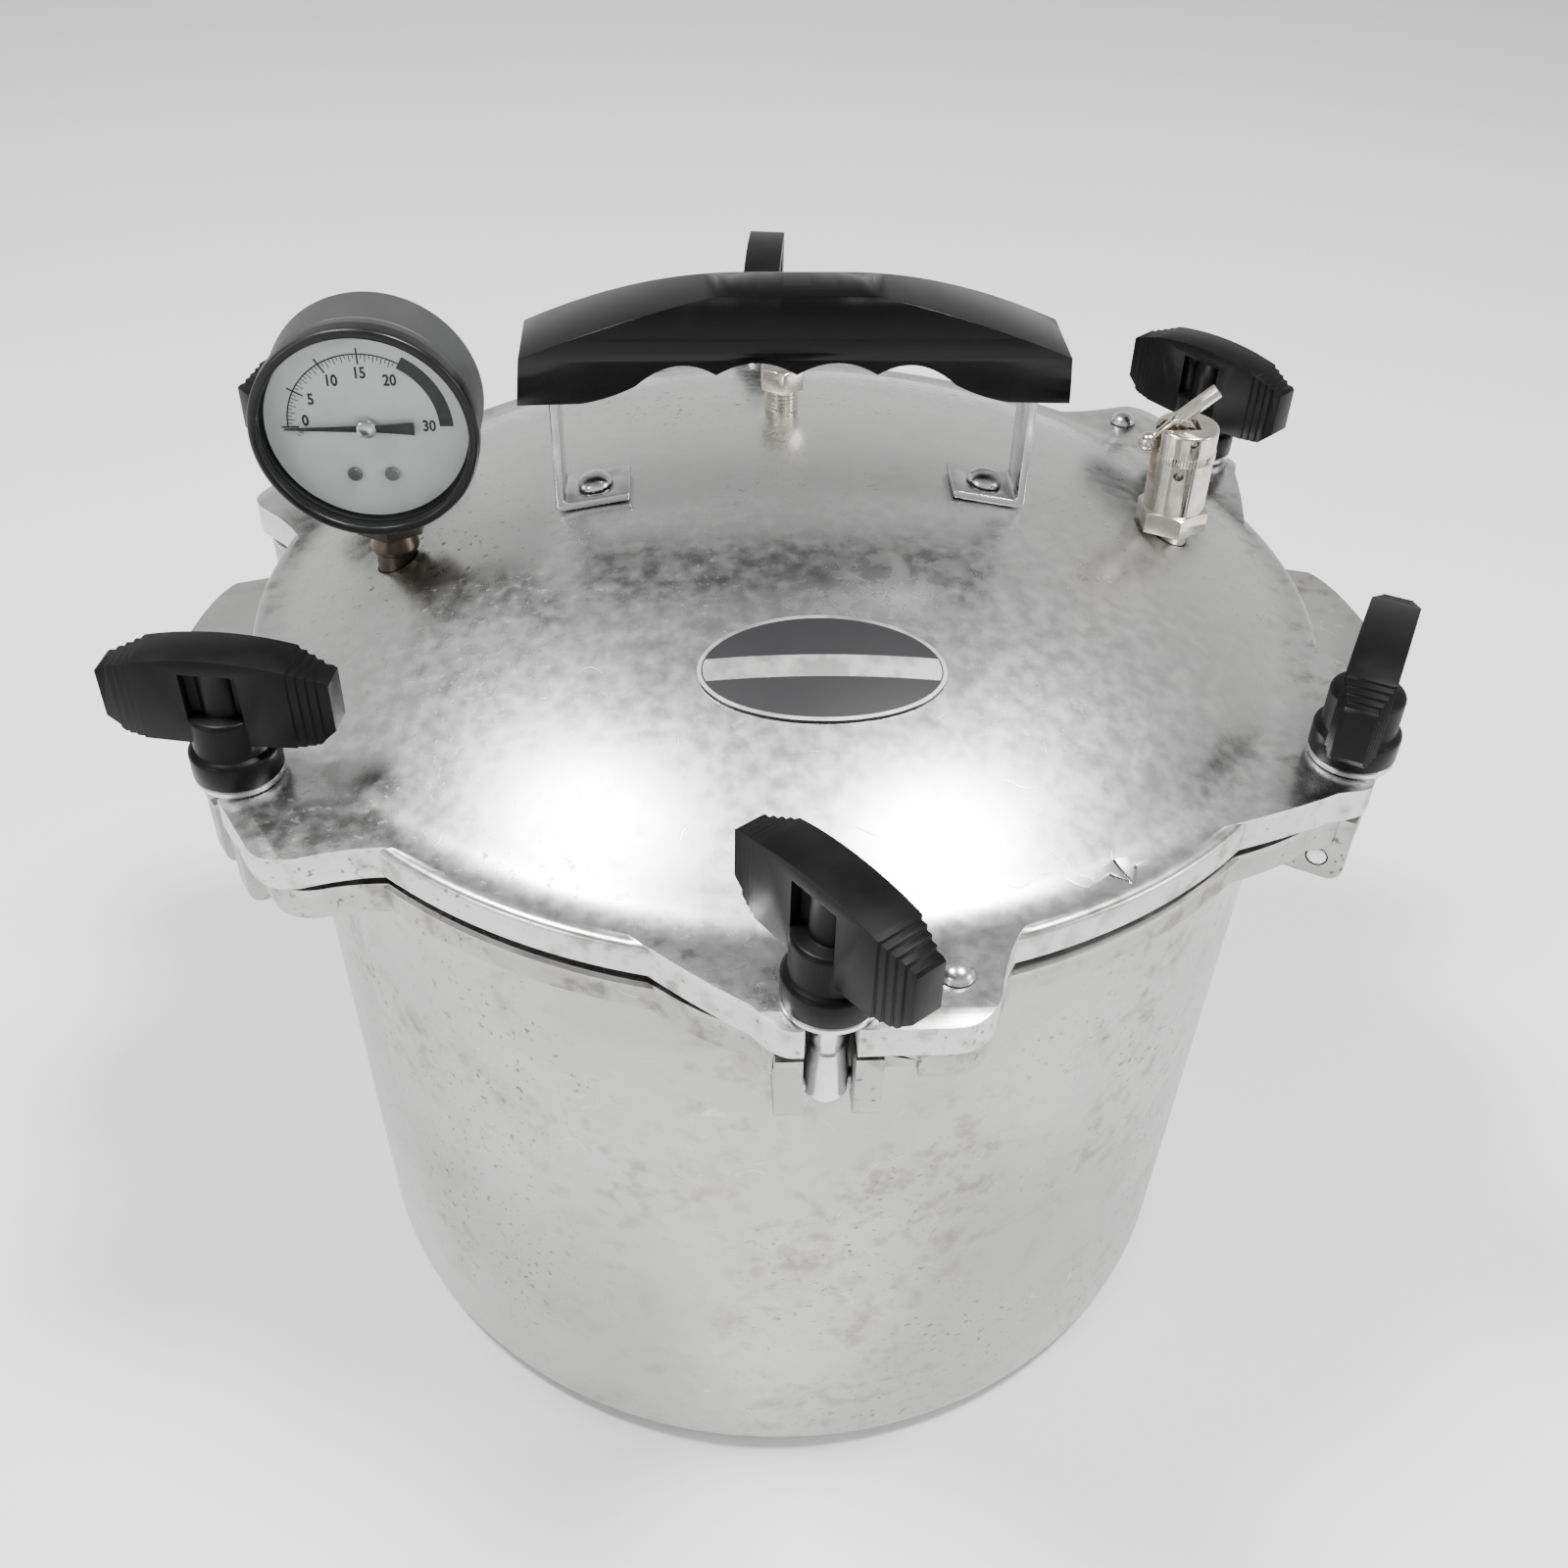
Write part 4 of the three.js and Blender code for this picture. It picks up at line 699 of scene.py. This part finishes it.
def fastener(name, node, side, slotted):
    top = 3.1
    profile = [(0, -9), (3, -9), (3, top), (5.4, top)] + arc(0, top, 5.4, 0, 90, 12)
    profile = [(r, top + (z - top) * 0.68 if z > top else z) for r, z in profile]
    profile[-1] = (0, profile[-1][1])
    head = spun(name, profile, 40)
    if slotted:
        combined(head, block("slot", -7, 7, -0.7, 0.7, top + 1.6, top + 8), "DIFFERENCE")
    softened(head, 0.15, 2)
    placed(head, turn=(0, side * HANDLE_TILT, 0))
    placed(head, at=(side * RIVET_X, 0, dome(RIVET_X)))
    hand_over(head, "lid", [node], STEEL)


fastener("rivet_left_domed", "handle_rivet_left", -1, False)
fastener("screw_right_domed", "handle_screw_right", 1, True)
for n, k in ((1, 0), (2, 2)):
    head = LID_TOP + GAP
    profile = [(0, LID_UNDER - 1.5), (2.5, LID_UNDER - 1.5), (2.5, head), (4.6, head)]
    profile += [(4.6 * math.cos(t), head + 3.4 * math.sin(t)) for t in (0.3, 0.6, 0.9, 1.2)] + [(0, head + 3.5)]
    stud = softened(spun(f"stud_{n}_domed", profile, 32), 0)
    placed(stud, at=(*STUD_AT, 0))
    hand_over(placed(stud, turn=(0, 0, clamp_turn(k))), "lid", [f"lid_stud_{n}"], STEEL)
print("handle finished")

# %% [markdown]
# ## Gauge
# A round gauge is drawn lying on its back, face up, because spinning is simplest that way. One
# turn about X then stands it up to face the cook.

# %% Standing pieces up at the gauge
GAUGE_AT = (middle("gauge_bezel").x, low("gauge_bezel").y, middle("gauge_bezel").z)
DIAL_FRONT = -6.5
WALL_R = 29.2


def stood(piece, body, nodes, material):
    return hand_over(placed(piece, at=GAUGE_AT, turn=(90, 0, 0)), body, nodes, material)


# %% Case, bezel, lens and socket
case = [(0, -29), (27.6, -29)] + bezier((27.6, -29), (30.6, -29), (30.6, -26), 6)
case += [(30.6, -10.2), (30.3, -9.8), (30.6, -9.4), (30.6, -5.3), (WALL_R, -5.3), (WALL_R, -27.6), (0, -27.6)]
case = spun("gauge_case_pressed", case, 128)
combined(case, placed(rod("stem_hole", 6.3, 0, 36), at=(0, 0, -22), turn=(90, 0, 0)), "DIFFERENCE")
stood(softened(case, 0.3, 2), "lid", ["gauge_case"], ENAMEL)
bezel = [(WALL_R, -5), (31.5, -5), (31.5, -1.6)] + bezier((31.5, -1.6), (31.5, 0), (30.2, 0), 5)
bezel += [(29.3, 0)] + bezier((29.3, 0), (28.6, -0.1), (28.5, -1.6), 4) + [(WALL_R, -1.6)]
bezel = softened(spun("gauge_bezel_rolled", bezel, 128, closed=True), 0)
stood(bezel, "lid", ["gauge_bezel"], BEZEL)
glass = Finish("gauge_glass", (0.03, 0.034, 0.034), 0.03)
glass.shader.inputs["Alpha"].default_value = 0.10
glass.set("Roughness", glass.spread(glass.noise(60, 4.0), 0.4, 0.8, 0.02, 0.10))
lens = softened(spun("gauge_lens_round", [(0, -3.4), (28.9, -3.4), (28.9, -1.9), (0, -1.9)], 96), 0)
stood(lens, "lid", ["gauge_lens"], glass.material)


def hexagon(name, flats, z0, z1, chamfer):
    """A hexagonal bar with its corners turned off at the top."""
    corner = flats / math.sqrt(3)
    points = [(corner * math.cos(math.radians(90 + 60 * i)), corner * math.sin(math.radians(90 + 60 * i)), z0)
              for i in range(6)]
    bar = prism(name, points, (0, 0, z1 - z0))
    rounded = [(0, z0 - 1), (corner + 1, z0 - 1), (corner + 1, z1 - chamfer)]
    rounded += bezier(rounded[-1], (flats / 2 + 0.4, z1), (flats / 2 - 1.2, z1), 5) + [(0, z1)]
    return combined(bar, spun("turned_corners", rounded, 64), "INTERSECT")


SOCKET_AT = (gauge_x, gauge_y, 0)
seat = low("gauge_socket").z + 18
hex_top = GAUGE_AT[2] - 31.6
socket = [(0, seat - 18), (6, seat - 18), (6, seat - 0.3)]
socket += bezier((6, seat), (7.6, seat), (7.2, seat + 2.5), 4) + [(6.2, seat + 6), (6, high("gauge_socket").z)]
socket = spun("socket_stem", socket + [(0, high("gauge_socket").z)], 48)
combined(socket, hexagon("socket_hexagon", 19, hex_top - 9, hex_top, 0.8), "UNION")
socket.name = "gauge_socket_turned"
combined(socket, rod("passage", 2, seat - 20, GAUGE_AT[2] - 16, 16), "DIFFERENCE")
hand_over(placed(softened(socket, 0.25, 2), at=SOCKET_AT), "lid", ["gauge_socket"], SOCKET)
print("gauge case finished")


# %% [markdown]
# ## Dial
# The dial is printed white tin. Its ink is modelled as very thin flat pieces just above the
# paint, so that the scale stays sharp at any distance. Text is made a mesh before it is placed.

# %% Dial plate and printed scale
def printed(name, color, roughness):
    f = Finish(name, color, roughness)
    cloud = f.spread(f.noise(90, 5.0), 0.4, 0.7)
    f.set("Base Color", f.blend(cloud, color, tuple(0.88 * c for c in color)))
    f.bump(f.noise(1400, 2.0), 0.1, 0.01)
    return f.material


DIAL_PAINT = printed("dial_paint", (0.70, 0.735, 0.735), 0.42)
INK = printed("dial_ink", (0.012, 0.012, 0.014), 0.5)
dial = spun("gauge_dial_printed", [(0, -7.5), (28, -7.5), (28, DIAL_FRONT), (0, DIAL_FRONT)], 96)
combined(dial, rod("arbor_hole", 1.6, -9, -5, 24), "DIFFERENCE")
for side in (1, -1):
    hole = placed(rod("screw_hole", 1.4, -9, -5, 16), at=(5.2 * side, -14.6, 0))
    combined(dial, hole, "DIFFERENCE")
stood(softened(dial, 0), "lid", ["gauge_dial"], DIAL_PAINT)
INK_Z = DIAL_FRONT + 0.02
INK_T = 0.05
SCALE_R = 21.6
ink = []


def scale_angle(value):
    return 180 - 6 * value


def swept(name, inner, outer, first, last):
    steps = max(4, int(abs(scale_angle(first) - scale_angle(last)) / 3))
    rim = arc(0, 0, outer, scale_angle(first), scale_angle(last), steps)
    rim += arc(0, 0, inner, scale_angle(last), scale_angle(first), steps)
    return prism(name, [(x, y, INK_Z) for x, y in rim], (0, 0, INK_T))


ink.append(swept("scale_line", SCALE_R - 0.2, SCALE_R + 0.2, 0, 20))
ink.append(swept("scale_band", 20.1, 23.9, 20, 30))
for half in range(0, 40):
    long = half % 10 == 0
    inner, outer = (18.6, 23.4) if long else (SCALE_R - 2.2, SCALE_R)
    if half % 2 and not long:
        inner = SCALE_R - 1.3
    width = 0.24 if long else 0.12
    tick = block("tick", inner, outer, -width, width, INK_Z, INK_Z + INK_T)
    ink.append(placed(tick, turn=(0, 0, scale_angle(half / 2))))


def number(text, x, y):
    deselect()
    bpy.ops.object.text_add(location=(0, 0, 0))
    piece = bpy.context.object
    piece.data.body = text
    piece.data.size = 4.6 * MM
    piece.data.align_x = "CENTER"
    piece.data.align_y = "CENTER"
    piece.data.offset = 0.15 * MM
    piece.data.extrude = INK_T * MM / 2
    piece.data.resolution_u = 4
    choose(piece)
    bpy.ops.object.convert(target="MESH")
    piece = bpy.context.object
    piece.scale = (0.8, 1, 1)
    return placed(piece, at=(x, y, INK_Z + INK_T / 2))


for text, r in (("0", 16.6), ("5", 16.4), ("10", 15.9), ("15", 16.0), ("20", 15.9), ("30", 17.2)):
    turn = math.radians(scale_angle(int(text)))
    lift = 1.8 if text == "0" else 0
    ink.append(number(text, r * math.cos(turn), r * math.sin(turn) + lift))
scale = merged(ink)
scale.name = "gauge_scale_ink"
stood(scale, "lid", [], INK)

# %% Pointer, hub, stop pin and screws
blade = [(-22.5, -0.25), (-6, -0.8), (4, -1.1), (13.2, -1.9), (13.2, 1.9), (4, 1.1), (-6, 0.8), (-22.5, 0.25)]
blade = prism("pointer_blade", [(x, y, DIAL_FRONT + 1.3) for x, y in blade], (0, 0, 0.5))
stood(softened(blade, 0.08, 2), "pointer", ["gauge_pointer"], INK)
hub = [(1.05, DIAL_FRONT + 0.6), (2.8, DIAL_FRONT + 0.6), (2.8, DIAL_FRONT + 1.9)]
hub += bezier(hub[-1], (2.6, DIAL_FRONT + 2.7), (0, DIAL_FRONT + 2.75), 8)
hub += [(0, DIAL_FRONT + 2), (1.05, DIAL_FRONT + 2)]
stood(softened(spun("pointer_hub", hub, 40, closed=True), 0), "pointer", [], STEEL)
stop = spun("stop_pin", [(0, DIAL_FRONT), (0.65, DIAL_FRONT), (0.65, -4.9), (0.3, -4.6), (0, -4.6)], 20)
stop = placed(softened(stop, 0), at=(-18.3, -1.5, 0))
stood(stop, "lid", [], STEEL)
for side, node in ((-1, "dial_screw_left"), (1, "dial_screw_right")):
    face = DIAL_FRONT + GAP
    screw = [(0, -9.5), (1.1, -9.5), (1.1, face), (2.1, face), (2.1, face + 0.35), (1.8, face + 0.7)]
    screw = softened(spun(node + "_turned", screw + [(0, face + 0.8)], 24), 0)
    stood(placed(screw, at=(5.2 * side, -14.6, 0)), "lid", [node], DULL_STEEL)
for node in ("pointer_arbor", "sector_gear", "sector_pivot", "movement_plate", "bourdon_tube"):
    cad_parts[node].data.materials.clear()
    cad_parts[node].data.materials.append(BRASS)
print("dial marks", len(scale.data.polygons))

# %% [markdown]
# ## Petcock
# The petcock is turned from a bar: hexagon below, barrel above with a serrated band. The lever
# is a ball, a thin neck and a fluted grip, turned upright and then laid over on its pin.

# %% Petcock body
PETCOCK_AT = (petcock_x, petcock_y, 0)
PIN_LEVEL = middle("petcock_pin").z
PETCOCK_TOP = high("petcock_body").z
BARREL_R = 9.5
hex_low = PETCOCK_TOP - 34
barrel_low = hex_low + 7


def star(name, outer, inner, teeth, z0, z1):
    points = []
    for i in range(2 * teeth):
        r = inner if i % 2 else outer
        t = math.pi * i / teeth
        points.append((r * math.cos(t), r * math.sin(t), z0))
    return prism(name, points, (0, 0, z1 - z0))


barrel = [(0, low("petcock_body").z), (6, low("petcock_body").z), (6, hex_low + 1), (BARREL_R, hex_low + 1)]
barrel += [(BARREL_R, PETCOCK_TOP - 1)] + bezier((BARREL_R, PETCOCK_TOP - 1), (BARREL_R, PETCOCK_TOP),
                                               (BARREL_R - 1, PETCOCK_TOP), 4)
barrel = spun("petcock_barrel", barrel + [(0, PETCOCK_TOP)], 96)
combined(barrel, hexagon("petcock_hexagon", 19.5, hex_low, barrel_low, 1.4), "UNION")
combined(barrel, star("serration", 9.8, 9.35, 64, PETCOCK_TOP - 10, PETCOCK_TOP - 7.4), "UNION")
combined(barrel, block("lever_slot", -12, 3.4, -3.6, 3.6, PETCOCK_TOP - 18, PETCOCK_TOP + 5), "DIFFERENCE")
combined(barrel, placed(rod("pin_bore", 1.3, -12, 12, 20), at=(0, 0, PIN_LEVEL), turn=(90, 0, 0)), "DIFFERENCE")
combined(barrel, placed(rod("vent", 1.5, 0, 12, 24), at=(-3, 0, barrel_low + 14), turn=(90, 0, 0)), "DIFFERENCE")
combined(barrel, rod("passage", 2, 200, barrel_low + 16, 20), "DIFFERENCE")
barrel.name = "petcock_body_turned"
hand_over(placed(softened(barrel, 0.18, 2), at=PETCOCK_AT), "lid", ["petcock_body"], NICKEL)
pin = softened(rod("petcock_pin_round", 1, -8.8, 8.8, 24), 0.2)
pin = placed(pin, at=(petcock_x, petcock_y, PIN_LEVEL), turn=(90, 0, 0))
hand_over(pin, "lid", ["petcock_pin"], STEEL)

# %% Petcock lever
lever = [(0, -14)] + arc(0, -11, 3, -80, 62, 14)
lever += bezier(lever[-1], (1.2, -7.6), (1.3, -5.5), 4) + bezier((1.3, -5.5), (1.5, -2.5), (2.2, -1), 5)
lever = spun("petcock_lever_fluted", lever + [(2.2, 0.5), (0, 0.5)], 40)
combined(lever, star("flutes", 2.3, 2.02, 9, 0, 14), "UNION")
lever = placed(lever, at=(0, 0, 5.2), turn=(0, 90, 0))
combined(lever, placed(rod("eye", 2.6, -2.2, 2.2, 32), turn=(90, 0, 0)), "UNION")
combined(lever, block("web", -1.3, 1.3, -2.2, 2.2, 1, 5.2), "UNION")
combined(lever, placed(rod("bore", 1.3, -4, 4, 24), turn=(90, 0, 0)), "DIFFERENCE")
softened(lever, 0.15, 2)
lever = placed(lever, at=(petcock_x, petcock_y, PIN_LEVEL), turn=(0, -42, 0))
hand_over(lever, "lever", ["petcock_lever"], NICKEL)
print("petcock finished")

# %% [markdown]
# ## Relief plug
# A small hexagon on a ringed neck holds a ball down on its seat with a spring. The inside is
# bored out as well, because the ball has to rise without meeting its body.

# %% Relief plug
RELIEF_AT = (0, relief_y, 0)
relief_top = high("relief_body").z
ball_seat = middle("relief_ball").z - 0.9
relief = [(0, low("relief_body").z), (4.5, low("relief_body").z), (4.5, ball_seat - 1.7), (5.6, ball_seat - 1.7)]
ring = ball_seat - 1.2
while ring < relief_top - 8:
    relief += [(5.6, ring), (5.15, ring + 0.35), (5.6, ring + 0.7)]
    ring += 1.3
relief = spun("relief_neck", relief + [(5.6, relief_top - 7), (0, relief_top - 7)], 48)
combined(relief, hexagon("relief_hexagon", 13.4, relief_top - 7.5, relief_top, 1.8), "UNION")
combined(relief, rod("chamber", 2.9, ball_seat - 1.2, relief_top - 1.9), "DIFFERENCE")
combined(relief, rod("inlet", 1.5, ball_seat - 20, ball_seat, 20), "DIFFERENCE")
combined(relief, rod("outlet", 1.2, relief_top - 3, relief_top + 2, 20), "DIFFERENCE")
relief.name = "relief_body_turned"
hand_over(placed(softened(relief, 0.2, 2), at=RELIEF_AT), "lid", ["relief_body"], NICKEL)
ball = softened(spun("relief_ball_round", arc(0, 0, 2.4, -90, 90, 16), 32), 0)
ball = placed(ball, at=(0, relief_y, middle("relief_ball").z))
hand_over(ball, "relief_ball", ["relief_ball"], STEEL)
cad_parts["relief_spring"].data.materials.clear()
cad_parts["relief_spring"].data.materials.append(STEEL)

# %% [markdown]
# ## Nameplate
# The plate is pressed to the curve of the lid. Crossing a thin shell of the same curve with an
# oval gives that shape exactly. It carries a bright border and one level band, and no words.

# %% Nameplate, border and band
PLATE_AT = (4, -85.5)
HALF_L = 34
HALF_W = 17.75


def oval(a, b, steps=72):
    return [(PLATE_AT[0] + a * math.cos(2 * math.pi * i / steps),
             PLATE_AT[1] + b * math.sin(2 * math.pi * i / steps), DOME_TOP - 60) for i in range(steps)]


def curved_plate(name, lift, thickness, plans, operation="DIFFERENCE"):
    under = [(r, dome(r, lift)) for r in range(0, 125, 4)]
    over = [(r, dome(r, lift + thickness)) for r in range(120, -1, -4)]
    shell = spun(name, under + over, 288)
    cutter = prism("oval", plans[0], (0, 0, 90))
    for plan in plans[1:]:
        combined(cutter, prism("inner", [(x, y, z - 1) for x, y, z in plan], (0, 0, 92)), operation)
    combined(shell, cutter, "INTERSECT")
    return softened(shell, 0)


PLATE_BLACK = printed("plate_ground", (0.013, 0.013, 0.014), 0.34)
PLATE_BRIGHT = plain_metal("plate_bright", (0.60, 0.60, 0.59), 0.30, 0.4)
plate = curved_plate("name_plate_oval", GAP, 0.7, [oval(HALF_L, HALF_W)])
hand_over(plate, "lid", ["name_plate"], PLATE_BLACK)
border = curved_plate("name_plate_border", GAP + 0.7, 0.08,
                      [oval(HALF_L, HALF_W), oval(HALF_L - 1.1, HALF_W - 1.1)])
hand_over(border, "lid", [], PLATE_BRIGHT)
x, y = PLATE_AT
level = [(x - 40, y - 3.6, DOME_TOP - 60), (x + 40, y - 3.6, DOME_TOP - 60),
         (x + 40, y + 3.6, DOME_TOP - 60), (x - 40, y + 3.6, DOME_TOP - 60)]
band = curved_plate("name_plate_band", GAP + 0.7, 0.08,
                    [oval(HALF_L - 1.5, HALF_W - 1.5), level], "INTERSECT")
hand_over(band, "lid", [], PLATE_BRIGHT)
print("nameplate faces", len(plate.data.polygons))

# %% [markdown]
# ## Rack
# The rack stands inside the pot and keeps jars off its floor. It is only seen when it is lifted
# out, and then it shows a plain pressed plate with round holes.

# %% Canning rack
rack_r = high("canning_rack").x
rack_top = high("canning_rack").z
rack_low = low("canning_rack").z
rack = [(0, rack_top - 2), (rack_r - 3, rack_top - 2)] + bezier((rack_r - 3, rack_top - 2), (rack_r - 2, rack_top - 2),
                                                            (rack_r - 2, rack_top - 3), 3)
rack += [(rack_r - 2, rack_low), (rack_r, rack_low), (rack_r, rack_top - 3)]
rack += bezier(rack[-1], (rack_r, rack_top), (rack_r - 3, rack_top), 5) + [(0, rack_top)]
rack = spun("canning_rack_pressed", rack, 128)
for ring, count in ((0, 1), (55, 6), (105, 12)):
    for i in range(count):
        turn = 2 * math.pi * (i + 0.5) / count
        hole = placed(rod("hole", 9, rack_top - 6, rack_top + 4, 32),
                      at=(ring * math.cos(turn), ring * math.sin(turn), 0))
        combined(rack, hole, "DIFFERENCE")
hand_over(softened(rack, 0.3, 2), "rack", ["canning_rack"], RACK_METAL)
print("rack faces", len(rack.data.polygons))

# %% [markdown]
# ## Floor, light and camera
# A plain pale floor carries the shadow. Two broad soft lamps overhead draw the two bright pools
# on the dome, and a pale world fills the rest, so that the metal has something to mirror.

# %% Floor and world
deselect()
bpy.ops.mesh.primitive_plane_add(size=9, location=(0, 0, 0))
floor = bpy.context.object
floor.name = "floor"
floor_paint = Finish("floor_paint", (0.88, 0.88, 0.88), 0.55)
floor_cloud = floor_paint.spread(floor_paint.noise(2.5, 3.0), 0.3, 0.7)
floor_paint.set("Base Color", floor_paint.blend(floor_cloud, (0.87, 0.872, 0.875), (0.90, 0.90, 0.90)))
floor.data.materials.append(floor_paint.material)

world = bpy.data.worlds.new("soft_room")
bpy.context.scene.world = world
world.use_nodes = True
sky_nodes = world.node_tree.nodes
sky_links = world.node_tree.links
direction = sky_nodes.new("ShaderNodeTexCoord").outputs["Generated"]
split = sky_nodes.new("ShaderNodeSeparateXYZ")
ramp = sky_nodes.new("ShaderNodeValToRGB")
ramp.color_ramp.elements[0].position = 0.0
ramp.color_ramp.elements[0].color = (0.80, 0.80, 0.79, 1)
ramp.color_ramp.elements[1].position = 0.9
ramp.color_ramp.elements[1].color = (0.20, 0.20, 0.205, 1)
sky_links.new(direction, split.inputs[0])
sky_links.new(split.outputs[2], ramp.inputs[0])
sky_links.new(ramp.outputs[0], sky_nodes["Background"].inputs["Color"])
sky_nodes["Background"].inputs["Strength"].default_value = 1.3


# %% Lamps and camera
def lamp(name, at, aim, size, watts):
    data = bpy.data.lights.new(name, "AREA")
    data.shape = "DISK"
    data.size = size
    data.energy = watts
    holder = bpy.data.objects.new(name, data)
    bpy.context.collection.objects.link(holder)
    holder.location = at
    holder.rotation_euler = (Vector(aim) - Vector(at)).to_track_quat("-Z", "Y").to_euler()


lamp("left_lamp", (-0.69, -0.02, 1.8), (0, 0, 0.25), 0.36, 42)
lamp("right_lamp", (0.55, -0.17, 1.8), (0, 0, 0.25), 0.42, 46)
lamp("left_window", (-2.4, -1.9, 1.3), (0, 0, 0.1), 0.9, 30)
lamp("right_window", (2.3, -0.9, 1.0), (0, 0, 0.15), 0.8, 20)

camera_data = bpy.data.cameras.new("camera")
camera_data.lens = 38.02
camera_data.sensor_width = 36
camera = bpy.data.objects.new("camera", camera_data)
bpy.context.collection.objects.link(camera)
right = Vector((0.998288, -0.053924, 0.022632))
up = Vector((0.016853, 0.635859, 0.771618))
turned = Matrix((right, up, right.cross(up))).transposed().to_4x4()
camera.matrix_world = Matrix.Translation((-0.03205, -0.44914, 0.54149)) @ turned
bpy.context.scene.camera = camera
